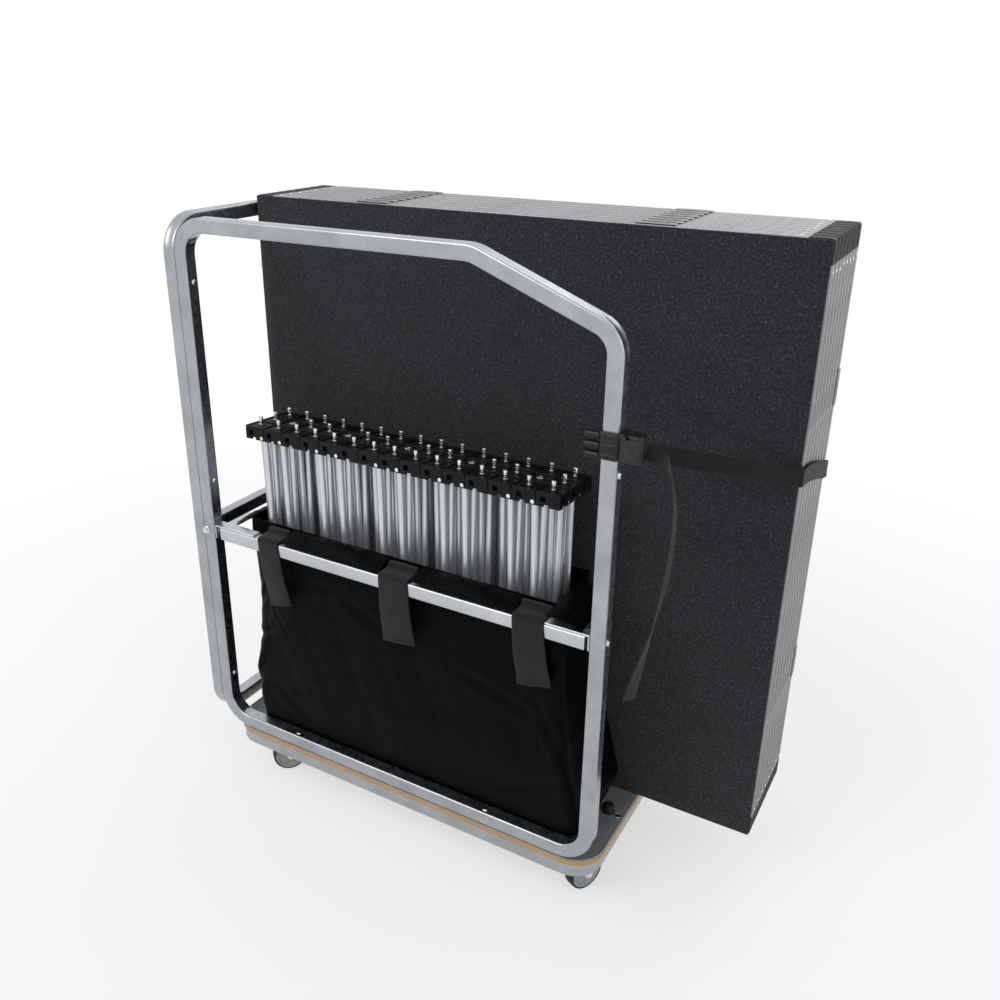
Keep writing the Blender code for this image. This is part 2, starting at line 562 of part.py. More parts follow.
def top_hub(x, y, column, row):
    w, d = (HUB_PITCH_X - HUB_CLEAR) / 2, (HUB_PITCH_Y - HUB_CLEAR) / 2
    low, high = HUB_TOP - HUB_H, HUB_TOP - HUB_H + SLOT_H
    hub = block("hub", (x - w, y - d, low), (x + w, y + d, HUB_TOP))
    e, last = 0.001, SIDE_HUBS - 1
    slots = []
    if row == 0:
        slots.append(block("slot", (x - w - e, y - d - e, low - e), (x - w + SLOT_W, y - d + SLOT_D, high)))
    if row == last:
        slots.append(block("slot", (x + w - SLOT_W, y + d - SLOT_D, low - e), (x + w + e, y + d + e, high)))
    if column == 0:
        slots.append(block("slot", (x - w - e, y + d - SLOT_W, low - e), (x - w + SLOT_D, y + d + e, high)))
    if column == last:
        slots.append(block("slot", (x + w - SLOT_D, y - d - e, low - e), (x + w + e, y - d + SLOT_W, high)))
    hub = combine(hub, slots, "DIFFERENCE")
    if row == column == last / 2:
        studs = [rod("disc", (x, y, HUB_TOP - e), (x, y, HUB_TOP + 0.0012), DISC_R, 8)]
    else:
        studs = [rod("foot", (x, y, HUB_TOP - e), (x, y, HUB_TOP + STUD_FOOT_H), STUD_FOOT_R, 5),
                 rod("stud", (x, y, HUB_TOP), (x, y, HUB_TOP + STUD_H), STUD_R, 5)]
    return combine(hub, studs, "UNION")


def riser_row(row):
    w, d = (HUB_PITCH_X - HUB_CLEAR) / 2, (HUB_PITCH_Y - HUB_CLEAR) / 2
    low_top = RISER_BASE + HUB_H
    hang, foot = HUB_TOP - HUB_H + 0.004, low_top - 0.004
    half, r = (hang + foot) / 2, LEG_D / 2
    y = BLOCK_Y0 + HUB_PITCH_Y * (row + 0.5)
    xs = [BLOCK_X0 + HUB_PITCH_X * (k + 0.5) for k in range(SIDE_HUBS)]
    parts = []
    for k, x in enumerate(xs):
        parts.append(top_hub(x, y, k, row))
        parts.append(block("low", (x - w, y - d, RISER_BASE), (x + w, y + d, low_top)))
    for left, right in zip(xs, xs[1:]):
        mid = (left + right) / 2
        for side in (-1, 1):
            parts.append(rod("leg", (mid + side * LEG_EDGE, y + side * LEG_CROSS, hang),
                             (mid - side * LEG_EDGE, y + side * LEG_CROSS, foot), r, 5, 0.3))
        parts.append(rod("pivot", (mid, y - LEG_CROSS, half), (mid, y + LEG_CROSS, half), PIVOT_R, 4))
    for towards in (-1, 1):
        if 0 <= row + towards < SIDE_HUBS:
            edge = y + towards * HUB_PITCH_Y / 2
            for x in xs:
                parts.append(rod("leg", (x + towards * LEG_CROSS, edge - towards * (LEG_EDGE + GAP), hang),
                                 (x + towards * LEG_CROSS, edge + towards * LEG_EDGE, low_top + 2 * GAP), r, 5, 0.3))
    return combine(parts[0], parts[1:], "UNION")


def risers(stage):
    for row, label in enumerate(("front_row", "middle_row", "rear_row")):
        source = finished(riser_row(row), "row", "riser aluminium", stage)
        copies(source, [f"riser_{k + 1}_{label}" for k in range(RISERS)], (HUB_PITCH_X * SIDE_HUBS, 0, 0))


def casters(stage):
    half = WHEEL_W / 2
    inside = half + 0.0019
    top = CROWN_LOW + CROWN_T / 2
    cheek = [(-0.5 * CROWN_R, top), (0.9 * CROWN_R, top), (TRAIL + 0.0075, AXLE_Z + 0.004), (TRAIL + 0.005, AXLE_Z - 0.0065),
             (TRAIL - 0.005, AXLE_Z - 0.0065), (TRAIL - 0.0085, AXLE_Z)]
    bore, boss, deep, shoulder = AXLE_R + 2 * GAP, 0.44 * HUB_R, half * 0.78, WHEEL_D / 2 - 0.003
    wheel = [(HUB_R, deep), (HUB_R, -deep), (boss, -half - 0.0006), (bore, -half - 0.0006), (bore, half + 0.0006), (boss, half + 0.0006)]
    tyre = [(WHEEL_D / 2, half * 0.6), (WHEEL_D / 2, -half * 0.6), (shoulder, -half), (HUB_R + GAP, -half * 0.96),
            (HUB_R + GAP, half * 0.96), (shoulder, half)]
    # The wheel's own z lies along y, turned by half a facet so that a flat one rests on the floor.
    axle = Matrix.Translation((TRAIL, 0, AXLE_Z)) @ Matrix.Rotation(-math.pi / 2, 4, "X") @ Matrix.Rotation(math.pi / WHEEL_SIDES, 4, "Z")
    for place in CASTERS:
        x, y, heading = caster_axis(place)
        swivel = empty(f"caster_{place}", (x, y, 0), heading, stage)
        fork = rod("crown", (0, 0, CROWN_LOW), (0, 0, CROWN_LOW + CROWN_T), CROWN_R, 12)
        parts = [plate("cheek", cheek, CHEEK_T, Matrix.Translation((0, side * (inside + CHEEK_T / 2), 0)) @ UP_XZ) for side in (-1, 1)]
        reach = inside + CHEEK_T + 0.003
        parts.append(rod("axle", (TRAIL, -reach, AXLE_Z), (TRAIL, reach, AXLE_Z), AXLE_R, 8))
        finished(combine(fork, parts, "UNION"), f"caster_{place}_fork", "plated steel", swivel)
        finished(turned("wheel", wheel, WHEEL_SIDES, axle, True), f"caster_{place}_wheel", "grey plastic", swivel)
        finished(turned("tyre", tyre, WHEEL_SIDES, axle, True), f"caster_{place}_tyre", "black rubber", swivel)


def main():
    # The origin is the middle of the whole part's foot, so the layout hangs on an empty that is moved there.
    stage = empty("portable_stage_layout", (-ORIGIN_X, -ORIGIN_Y, 0), 0.0, None)
    for build in (base_board, base_frame, front_frame, end_frame, bag_rail, rubber_button, riser_bag, tabs, strap, strap_tail,
                  clip, decks, risers, casters):
        build(stage)
    bpy.data.collections.remove(WORK)
    bpy.context.view_layer.update()


main()
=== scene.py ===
import json
import math
import bpy
import bmesh
import numpy as np
from mathutils import Matrix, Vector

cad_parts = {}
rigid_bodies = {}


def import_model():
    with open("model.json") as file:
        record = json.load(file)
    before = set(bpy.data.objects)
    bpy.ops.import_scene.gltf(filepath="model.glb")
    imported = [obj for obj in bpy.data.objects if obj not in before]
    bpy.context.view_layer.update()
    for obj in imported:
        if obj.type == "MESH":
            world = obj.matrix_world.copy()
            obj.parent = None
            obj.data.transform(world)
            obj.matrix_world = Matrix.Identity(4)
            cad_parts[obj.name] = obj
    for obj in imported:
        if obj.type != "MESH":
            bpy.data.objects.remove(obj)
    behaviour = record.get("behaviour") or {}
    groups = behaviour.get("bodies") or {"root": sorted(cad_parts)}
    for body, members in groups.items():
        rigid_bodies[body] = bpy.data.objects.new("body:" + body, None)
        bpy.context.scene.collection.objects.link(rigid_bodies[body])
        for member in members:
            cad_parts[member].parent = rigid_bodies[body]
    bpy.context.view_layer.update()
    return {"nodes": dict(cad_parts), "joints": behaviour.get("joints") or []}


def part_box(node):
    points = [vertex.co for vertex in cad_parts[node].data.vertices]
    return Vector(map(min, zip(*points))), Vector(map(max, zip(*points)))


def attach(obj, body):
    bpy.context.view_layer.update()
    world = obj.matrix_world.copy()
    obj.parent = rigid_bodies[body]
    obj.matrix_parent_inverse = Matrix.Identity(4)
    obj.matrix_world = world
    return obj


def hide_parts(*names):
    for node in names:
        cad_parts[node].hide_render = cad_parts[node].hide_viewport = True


for stray in list(bpy.data.objects):
    bpy.data.objects.remove(stray)
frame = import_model()        # metres, the floor at z 0, x along the decks and y from the bag to the decks
joints = {joint["name"]: joint for joint in frame["joints"]}
print("frame loaded:", len(frame["nodes"]), "nodes")


def nodeBox(node):
    # Lowest and highest corner of a CAD node, as two arrays.
    low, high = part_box(node)
    return np.array(low), np.array(high)


def runLength(points, way):
    # Length along one way of a grid: the mean step to the next row or column, added up.
    steps = np.linalg.norm(np.roll(points, -1, axis=way) - points, axis=2).mean(axis=1 - way)
    return np.concatenate([[0.0], np.cumsum(steps)])


def gridShape(points, closedU=False, closedV=False, capped=False):
    # A surface over two parameters: row i and column j is one corner, four neighbours make a face,
    # and its uv is the length in metres along both ways.
    rows, cols = points.shape[:2]
    i, j = np.meshgrid(np.arange(rows if closedU else rows - 1), np.arange(cols if closedV else cols - 1),
        indexing="ij")
    i, j = i.ravel(), j.ravel()
    k, m = (i + 1) % rows, (j + 1) % cols
    loops = np.stack([i * cols + j, i * cols + m, k * cols + m, k * cols + j], axis=1).ravel()
    u, v = runLength(points, 0), runLength(points, 1)
    uv = np.stack([u[i], v[j], u[i], v[j + 1], u[i + 1], v[j + 1], u[i + 1], v[j]], axis=1).reshape(-1, 2)
    sizes = np.full(len(i), 4)
    if capped:
        ends = np.concatenate([np.arange(cols)[::-1], (rows - 1) * cols + np.arange(cols)])
        loops = np.concatenate([loops, ends])
        sizes = np.concatenate([sizes, [cols, cols]])
        uv = np.concatenate([uv, points.reshape(-1, 3)[ends][:, :2]])
    return dict(verts=points.reshape(-1, 3), loops=loops, sizes=sizes, uv=uv)


def joined(*shapes):
    # Several shapes as one: the corner numbers of each start where the last one's end.
    starts = np.cumsum([0] + [len(shape["verts"]) for shape in shapes[:-1]])
    return dict(verts=np.concatenate([shape["verts"] for shape in shapes]),
        loops=np.concatenate([shape["loops"] + start for shape, start in zip(shapes, starts)]),
        sizes=np.concatenate([shape["sizes"] for shape in shapes]),
        uv=np.concatenate([shape["uv"] for shape in shapes]))


def placed(shape, origin=(0, 0, 0), axes=((1, 0, 0), (0, 1, 0), (0, 0, 1))):
    # Each corner is the origin plus its own three coordinates along the three axes, given as rows.
    return {**shape, "verts": shape["verts"] @ np.asarray(axes, float) + np.asarray(origin, float)}


def repeated(shape, places):
    # One copy of the shape for each place, all worked out at once.
    places = np.asarray(places, float).reshape(-1, 3)
    count, size = len(places), len(shape["verts"])
    return dict(verts=(shape["verts"][None] + places[:, None]).reshape(-1, 3),
        loops=(shape["loops"][None] + size * np.arange(count)[:, None]).ravel(),
        sizes=np.tile(shape["sizes"], count), uv=np.tile(shape["uv"], (count, 1)))


def facing(axis, near=(0, 0, 1)):
    # Three square axes as rows: the third lies along the given one, the first is level with near.
    third = np.asarray(axis, float) / np.linalg.norm(axis)
    first = np.cross(near, third)
    if np.linalg.norm(first) < 0.1:
        first = np.cross((0, 1, 0), third)
    first = first / np.linalg.norm(first)
    return np.array([first, np.cross(third, first), third])


def turnedShape(profile, sides, ring=False):
    # A profile of radius and height carried round z: x is radius times cosine, y is radius times sine.
    radius, height = np.array(profile, float).T
    angle = 2 * np.pi * np.arange(sides) / sides
    points = np.stack([radius[:, None] * np.cos(angle), radius[:, None] * np.sin(angle),
        np.repeat(height[:, None], sides, axis=1)], axis=2)
    return gridShape(points, closedU=ring, closedV=True)


def roundBlock(low, high, radius, steps=1):
    # A block with rounded edges: a corner of the inner block plus the radius along a direction on a ball.
    low, high = np.asarray(low, float), np.asarray(high, float)
    centre, half = (low + high) / 2, (high - low) / 2
    radius = min(radius, 0.95 * half.min())
    quarter = np.linspace(0, np.pi / 2, steps + 1)
    around = np.concatenate([quarter + k * np.pi / 2 for k in range(4)])
    rise = np.concatenate([quarter - np.pi / 2, quarter])
    inner = half - radius
    signs = np.stack([np.repeat([1, -1, -1, 1], steps + 1), np.repeat([1, 1, -1, -1], steps + 1)], axis=1)
    x = centre[0] + inner[0] * signs[:, 0] + radius * np.outer(np.cos(rise), np.cos(around))
    y = centre[1] + inner[1] * signs[:, 1] + radius * np.outer(np.cos(rise), np.sin(around))
    z = centre[2] + inner[2] * np.repeat([-1, 1], steps + 1) + radius * np.sin(rise)
    points = np.stack([x, y, np.repeat(z[:, None], x.shape[1], axis=1)], axis=2)
    return gridShape(points, closedV=True, capped=True)


def rect(x0, y0, x1, y1):
    return [(x0, y0), (x1, y0), (x1, y1), (x0, y1)]


def roundedPath(corners, radii, steps):
    # A closed flat path of straight runs, each corner turned along an arc that touches both its runs.
    corners = np.asarray(corners, float)
    radii = np.broadcast_to(radii, len(corners)).astype(float)[:, None]
    before, after = np.roll(corners, 1, axis=0) - corners, np.roll(corners, -1, axis=0) - corners
    before, after = (way / np.linalg.norm(way, axis=1, keepdims=True) for way in (before, after))
    angle = np.arccos((before * after).sum(axis=1, keepdims=True))
    middle = (before + after) / np.linalg.norm(before + after, axis=1, keepdims=True)
    centre = corners + middle * radii / np.sin(angle / 2)
    start = corners + before * radii / np.tan(angle / 2) - centre
    end = corners + after * radii / np.tan(angle / 2) - centre
    way = np.sign(start[:, :1] * end[:, 1:] - start[:, 1:] * end[:, :1])
    turn = way * (np.pi - angle) * np.linspace(0, 1, steps + 1)[None]
    x = centre[:, :1] + start[:, :1] * np.cos(turn) - start[:, 1:] * np.sin(turn)
    y = centre[:, 1:] + start[:, :1] * np.sin(turn) + start[:, 1:] * np.cos(turn)
    return np.stack([x.ravel(), y.ravel()], axis=1)


def stackShape(levels, ring=False):
    # Flat loops at their own heights, each joined to the next; in a ring the last one meets the first.
    rows = [np.column_stack([loop, np.full(len(loop), level)]) for loop, level in levels]
    return gridShape(np.stack(rows), closedU=ring, closedV=True, capped=not ring)


def plateShape(outline, low, high, bevel=0.0005):
    # A flat outline raised from low to high; both rims are drawn in along the outline's normal.
    outline = np.asarray(outline, float)
    run = np.roll(outline, -1, axis=0) - np.roll(outline, 1, axis=0)
    out = np.stack([run[:, 1], -run[:, 0]], axis=1) / np.linalg.norm(run, axis=1, keepdims=True)
    x, y = outline.T
    out *= np.sign((x * np.roll(y, -1) - np.roll(x, -1) * y).sum())
    levels = ((1, low), (0, low + bevel), (0, high - bevel), (1, high))
    return stackShape([(outline - out * bevel * inset, level) for inset, level in levels])


def squareSection(width, height, radius, cells=1):
    # A rectangle with rounded corners, as the section of a tube; each flat is cut into cells.
    w, h = width / 2, height / 2
    arcs = roundedPath(rect(-w, -h, w, h), radius, 3).reshape(4, -1, 2)
    share = np.linspace(0, 1, cells + 1)[1:-1][None, :, None]
    flats = arcs[:, -1:] + (np.roll(arcs, -1, axis=0)[:, :1] - arcs[:, -1:]) * share
    return np.concatenate([arcs, flats], axis=1).reshape(-1, 2)


def circleSection(radius, sides):
    angle = 2 * np.pi * np.arange(sides) / sides      # radius times cosine and sine
    return radius * np.stack([np.cos(angle), np.sin(angle)], axis=1)


def ribbonSection(width, thick, cells, bow=0.0):
    # Across a webbing: out along one face and back along the other, with thin round edges and a shallow bow.
    across = np.sin(np.linspace(-np.pi / 2, np.pi / 2, cells + 1))
    across = np.concatenate([across, across[::-1]])
    side = np.repeat([1.0, -1.0], cells + 1)
    height = side * thick / 2 * np.sqrt(np.clip(1 - across ** 12, 0, 1)) + bow * (1 - across ** 2)
    width = np.atleast_1d(width)[:, None]
    return np.stack([width / 2 * across, np.broadcast_to(height, (len(width), len(height)))], axis=2)


def sweptShape(path, section, wide=(0, 0, 1), closed=False):
    # A section carried along a path: the path's point plus the section's two coordinates along the wide
    # way and the face way, which are both square to the run.
    path = np.asarray(path, float)
    run = np.roll(path, -1, axis=0) - np.roll(path, 1, axis=0) if closed else np.gradient(path, axis=0)
    run /= np.linalg.norm(run, axis=1, keepdims=True)
    wide = np.broadcast_to(wide, path.shape).astype(float)
    wide = wide - run * (wide * run).sum(axis=1, keepdims=True)
    wide /= np.linalg.norm(wide, axis=1, keepdims=True)
    face = np.cross(run, wide)
    points = path[:, None] + wide[:, None] * section[..., :1] + face[:, None] * section[..., 1:]
    return gridShape(points, closedU=closed, closedV=True, capped=not closed)


def rodShape(start, end, radius, sides):
    # A round bar from start to end, its rims turned in a little.
    start, end = np.asarray(start, float), np.asarray(end, float)
    length = np.linalg.norm(end - start)
    rim = min(0.12 * radius, 0.0006)
    profile = [(0, 0), (radius - rim, 0), (radius, rim), (radius, length - rim), (radius - rim, length), (0, length)]
    return placed(turnedShape(profile, sides), start, facing(end - start))


def smoothPath(points, each):
    # A smooth curve through given points: a cubic between each pair that leans along the neighbours'
    # chord, as far as the shorter of the two steps, so that uneven steps don't swing out.
    points = np.asarray(points, float)
    steps = np.linalg.norm(np.diff(points, axis=0), axis=1, keepdims=True)
    chord = np.gradient(points, axis=0)
    chord = chord / np.maximum(np.linalg.norm(chord, axis=1, keepdims=True), 1e-9)
    lean = chord * np.minimum(np.concatenate([steps[:1], steps]), np.concatenate([steps, steps[-1:]]))
    a, b, leanA, leanB = (row[:, None] for row in (points[:-1], points[1:], lean[:-1], lean[1:]))
    t = (np.arange(each) / each)[None, :, None]
    curve = ((2 * t ** 3 - 3 * t ** 2 + 1) * a + (3 * t ** 2 - 2 * t ** 3) * b + (t ** 3 - 2 * t ** 2 + t) * leanA
        + (t ** 3 - t ** 2) * leanB)
    return np.concatenate([curve.reshape(-1, points.shape[1]), points[-1:]])


def ripple(where, seed, waves, size):
    # A sum of sine waves with seeded phases, each shorter wave lower than the last.
    rng = np.random.default_rng(seed)
    phase = rng.uniform(0, 2 * np.pi, len(waves))
    parts = [np.sin(2 * np.pi * where / wave + p) / (1 + k) for k, (wave, p) in enumerate(zip(waves, phase))]
    return size * sum(parts) / sum(1 / (1 + k) for k in range(len(waves)))


def linked(name, data):
    # A new object with its data, in the scene.
    item = bpy.data.objects.new(name, data)
    bpy.context.scene.collection.objects.link(item)
    return item


def newPiece(name, shape, finish, stands=(), body="trolley", angle=40):
    # Puts a shape into a mesh, welds its seams and poles, turns its faces out, and says its body.
    mesh = bpy.data.meshes.new(name)
    mesh.vertices.add(len(shape["verts"]))
    mesh.vertices.foreach_set("co", shape["verts"].astype(np.float32).ravel())
    mesh.loops.add(len(shape["loops"]))
    mesh.loops.foreach_set("vertex_index", shape["loops"].astype(np.int32))
    mesh.polygons.add(len(shape["sizes"]))
    mesh.polygons.foreach_set("loop_start", (np.cumsum(shape["sizes"]) - shape["sizes"]).astype(np.int32))
    mesh.update(calc_edges=True)
    mesh.uv_layers.new(name="run").data.foreach_set("uv", shape["uv"].astype(np.float32).ravel())
    work = bmesh.new()
    work.from_mesh(mesh)
    bmesh.ops.remove_doubles(work, verts=work.verts, dist=2e-6)
    bmesh.ops.recalc_face_normals(work, faces=work.faces)
    work.to_mesh(mesh)
    work.free()
    mesh.polygons.foreach_set("use_smooth", np.ones(len(mesh.polygons), dtype=bool))
    mesh.set_sharp_from_angle(angle=math.radians(angle))
    mesh.materials.append(finish)
    piece = linked(name, mesh)
    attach(piece, body)
    if stands:
        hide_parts(*stands)


def bare(holder):
    # The empty node tree of a material or a world.
    holder.use_nodes = True
    holder.node_tree.nodes.clear()
    return holder.node_tree


def wire(tree, kind, inputs, **settings):
    # One shader node: each input takes a fixed value or another node's output.
    node = tree.nodes.new("ShaderNode" + kind)
    for key, value in settings.items():
        setattr(node, key, value)
    for key, value in inputs.items():
        if isinstance(value, bpy.types.NodeSocket):
            tree.links.new(value, node.inputs[key])
        else:
            node.inputs[key].default_value = value
    return node


def newFinish(name, fixed):
    # A material with its fixed values set on the shader's own sockets, its nodes, and both kinds of coordinates.
    finish = bpy.data.materials.new(name)
    finish.use_nodes = True
    shader = finish.node_tree.nodes["Principled BSDF"]
    for key, value in fixed.items():
        shader.inputs[key].default_value = value
    coords = wire(finish.node_tree, "TexCoord", {}).outputs
    return finish, finish.node_tree, coords["Object"], coords["UV"]


def noise(tree, vector, scale, detail, rough):
    return wire(tree, "TexNoise", {"Vector": vector, "Scale": scale, "Detail": detail, "Roughness": rough}).outputs[0]


def drawn(tree, vector, scale):
    # The same coordinates drawn out or pressed together along each axis.
    return wire(tree, "Mapping", {"Vector": vector, "Scale": scale}).outputs["Vector"]


def ramp(tree, factor, stops):
    # Colours between the given stops of a factor.
    node = wire(tree, "ValToRGB", {"Fac": factor})
    scale = node.color_ramp.elements
    while len(scale) > 1:
        scale.remove(scale[-1])
    scale[0].position, scale[0].color = stops[0][0], (*stops[0][1], 1)
    for place, colour in stops[1:]:
        scale.new(place).color = (*colour, 1)
    return node.outputs["Color"]


def spread(tree, value, low, high, fromLow=0.3, fromHigh=0.7):
    # A factor stretched to run from low to high.
    return wire(tree, "MapRange", {"Value": value, "From Min": fromLow, "From Max": fromHigh, "To Min": low,
        "To Max": high}).outputs[0]


def merged(tree, a, b, way="MULTIPLY"):
    # Two factors made into one: their product, or the larger of the two.
    return wire(tree, "Math", {0: a, 1: b}, operation=way).outputs[0]


def shaded(tree, colour, shade):
    # A colour multiplied by a shade.
    return wire(tree, "Mix", {0: 1.0, 6: colour, 7: shade}, data_type="RGBA", blend_type="MULTIPLY").outputs[2]


def bands(tree, vector, width, way, wander, **more):
    # Waves across one way of the coordinates, each as wide as given in metres.
    inputs = {"Vector": vector, "Scale": 0.314 / width, "Distortion": wander, **more}
    return wire(tree, "TexWave", inputs, bands_direction=way).outputs["Fac"]


def coated(finish, colour, rough, layers):
    # The finish with its colour, its roughness where one is given, and heights in metres laid over each other.
    tree, shader, normal = finish.node_tree, finish.node_tree.nodes["Principled BSDF"], None
    for height, distance, strength in layers:
        inputs = {"Height": height, "Distance": distance, "Strength": strength}
        if normal is not None:
            inputs["Normal"] = normal
        normal = wire(tree, "Bump", inputs).outputs["Normal"]
    for key, value in (("Base Color", colour), ("Roughness", rough), ("Normal", normal)):
        if value is not None:
            tree.links.new(value, shader.inputs[key])
    return finish


def metalFinish(name, values):
    # Bare or plated metal: cloudy patches between two tones, and a fine grain drawn along its run.
    finish, tree, place, run = newFinish(name, {"Metallic": values.get("metallic", 1.0)})
    coords = run if values.get("alongRun") else place
    patches = noise(tree, coords, values["patch"], 5.0, 0.6)
    grain = noise(tree, drawn(tree, coords, values["stretch"]), values["grain"], 7.0, 0.65)
    marks = noise(tree, coords, values["patch"] * 5, 6.0, 0.7)
    return coated(finish, ramp(tree, patches, [(0.32, values["dark"]), (0.68, values["light"])]),
        spread(tree, merged(tree, grain, marks), *values["rough"], 0.12, 0.42),
        [(grain, values["height"], 0.6), (marks, values["height"] * 2, 0.25)])


def mouldedFinish(name, values):
    # Moulded plastic, rubber or laminate: a fine eggshell skin with broad soft patches and dust.
    finish, tree, coords, _ = newFinish(name, {"Specular IOR Level": values["specular"]})
    skin = wire(tree, "TexVoronoi", {"Vector": coords, "Scale": values["skin"]}).outputs["Distance"]
    dust = noise(tree, coords, values["patch"], 6.0, 0.65)
    return coated(finish, ramp(tree, dust, [(0.35, values["dark"]), (0.65, values["light"])]),
        spread(tree, dust, *values["rough"]), [(skin, values["height"], 0.5), (dust, values["height"] * 3, 0.3)])


def carpetFinish(name, values):
    # Needle-felt carpet: matted fibres in three tones, pale flecks, broad tread marks and a felt nap.
    finish, tree, coords, _ = newFinish(name, {"Roughness": 1.0, "Specular IOR Level": 0.05, "Sheen Weight": 0.12,
        "Sheen Roughness": 0.6})
    fibres = noise(tree, coords, values["fibre"], 6.0, 0.8)
    tufts = noise(tree, coords, values["tuft"], 3.0, 0.6)
    tread = noise(tree, coords, values["tread"], 3.0, 0.5)
    base = ramp(tree, fibres, [(0.36, values["dark"]), (0.52, values["middle"]), (0.68, values["light"])])
    fleck = spread(tree, tufts, 0.0, 1.0, 0.56, 0.74)
    mixed = wire(tree, "Mix", {0: fleck, 6: base, 7: (*values["fleck"], 1)}, data_type="RGBA").outputs[2]
    shade = ramp(tree, tread, [(0.3, (0.86, 0.86, 0.87)), (0.7, (1.0, 1.0, 1.0))])
    return coated(finish, shaded(tree, mixed, shade), None, [(fibres, 0.0012, 0.9), (tufts, 0.0016, 0.6)])


def webbingFinish(name, values):
    # Woven webbing on its own uv: ribs across and yarns along, their grooves darkened as painted shade, and a worn,
    # slightly uneven dye.
    finish, tree, place, run = newFinish(name, {"Specular IOR Level": 0.15, "Sheen Weight": 0.15,
        "Sheen Roughness": 0.5})
    ribs = bands(tree, run, values["rib"], "X", 0.6, Detail=1.0)
    yarns = bands(tree, run, values["yarn"], "Y", 0.4, Detail=1.0)
    dye = noise(tree, place, 60.0, 6.0, 0.7)
    weave = merged(tree, ribs, yarns)
    colour = ramp(tree, dye, [(0.3, values["dark"]), (0.7, values["light"])])
    # The weave darkens the colour in the grooves between ribs and yarns: painted shade.
    shade = ramp(tree, weave, [(0.0, (0.55, 0.55, 0.55)), (1.0, (1.0, 1.0, 1.0))])
    return coated(finish, shaded(tree, colour, shade), spread(tree, dye, 0.6, 0.85),
        [(weave, 0.0004, 0.8), (dye, 0.0006, 0.3)])


def nylonFinish(name, values):
    # Coated nylon: a fine basket weave and long soft creases of gloss, the colour a touch lighter along them as
    # painted sheen.
    finish, tree, place, run = newFinish(name, {"Specular IOR Level": values["specular"]})
    weave = merged(tree, *(bands(tree, run, values["thread"], way, 0.2) for way in "XY"))
    foldsAndSheen = noise(tree, drawn(tree, place, (1.0, 1.0, 0.35)), 22.0, 5.0, 0.6)
    # The crease noise also lifts the colour along the creases: painted sheen.
    return coated(finish, ramp(tree, foldsAndSheen, [(0.3, values["dark"]), (0.7, values["light"])]),
        spread(tree, foldsAndSheen, *values["rough"]), [(weave, 0.0002, 0.5), (foldsAndSheen, 0.004, 0.35)])


def plyFinish(name, values):
    # Birch plywood edge: plies as bands of z that run light and dark, with grain and small voids along them.
    finish, tree, coords, _ = newFinish(name, {"Specular IOR Level": 0.3})
    plies = bands(tree, coords, values["ply"], "Z", 0.35, **{"Detail": 2.0, "Detail Scale": 6.0})
    grain = noise(tree, drawn(tree, coords, (1.0, 1.0, 14.0)), 90.0, 7.0, 0.7)
    base = ramp(tree, plies, [(0.0, values["dark"]), (0.35, values["light"]), (0.9, values["light"]),
        (1.0, values["dark"])])
    shade = ramp(tree, grain, [(0.3, (0.72, 0.68, 0.62)), (0.6, (1.0, 1.0, 1.0))])
    return coated(finish, shaded(tree, base, shade), spread(tree, grain, 0.5, 0.75),
        [(plies, 0.0003, 0.5), (grain, 0.0003, 0.6)])


platedSteel = metalFinish("platedSteel", dict(dark=(0.34, 0.355, 0.375), light=(0.44, 0.455, 0.475), patch=18.0,
    grain=90.0, stretch=(1, 1, 1), rough=(0.24, 0.38), height=0.00003))
deckAluminium = metalFinish("deckAluminium", dict(alongRun=True, dark=(0.23, 0.235, 0.245), light=(0.31, 0.32, 0.33),
    patch=9.0, grain=240.0, stretch=(0.02, 1, 1), rough=(0.34, 0.5), height=0.00006))
railAluminium = metalFinish("railAluminium", dict(alongRun=True, dark=(0.48, 0.5, 0.52), light=(0.6, 0.62, 0.64),
    patch=9.0, grain=240.0, stretch=(0.02, 1, 1), rough=(0.28, 0.5), height=0.00006))
riserAluminium = metalFinish("riserAluminium", dict(alongRun=True, dark=(0.6, 0.62, 0.65), light=(0.7, 0.72, 0.75),
    patch=14.0, grain=300.0, stretch=(0.03, 1, 1), rough=(0.3, 0.42), metallic=0.75, height=0.00002))
studSteel = metalFinish("studSteel", dict(dark=(0.66, 0.67, 0.68), light=(0.82, 0.83, 0.84), patch=120.0,
    grain=900.0, stretch=(1, 1, 6), rough=(0.12, 0.3), height=0.00002))
zincPlate = metalFinish("zincPlate", dict(dark=(0.55, 0.57, 0.58), light=(0.74, 0.75, 0.76), patch=70.0, grain=260.0,
    stretch=(1, 1, 1), rough=(0.16, 0.34), height=0.00003))
hubPlastic = mouldedFinish("hubPlastic", dict(dark=(0.004, 0.004, 0.0045), light=(0.008, 0.008, 0.009), patch=70.0,
    skin=1600.0, rough=(0.38, 0.52), specular=0.16, height=0.00005))
cornerPlastic = mouldedFinish("cornerPlastic", dict(dark=(0.026, 0.026, 0.029), light=(0.04, 0.04, 0.044),
    patch=60.0, skin=1200.0, rough=(0.5, 0.7), specular=0.2, height=0.00008))
clipPlastic = mouldedFinish("clipPlastic", dict(dark=(0.007, 0.007, 0.008), light=(0.014, 0.014, 0.016), patch=55.0,
    skin=1800.0, rough=(0.28, 0.45), specular=0.3, height=0.00005))
laminateTop = mouldedFinish("laminateTop", dict(dark=(0.185, 0.19, 0.2), light=(0.225, 0.23, 0.24), patch=38.0,
    skin=900.0, rough=(0.35, 0.6), specular=0.4, height=0.00006))
deckUnderside = mouldedFinish("deckUnderside", dict(dark=(0.3, 0.3, 0.29), light=(0.38, 0.38, 0.37), patch=12.0,
    skin=500.0, rough=(0.45, 0.7), specular=0.35, height=0.0001))
wheelGrey = mouldedFinish("wheelGrey", dict(dark=(0.27, 0.285, 0.295), light=(0.35, 0.365, 0.375), patch=80.0,
    skin=1500.0, rough=(0.35, 0.55), specular=0.4, height=0.00005))
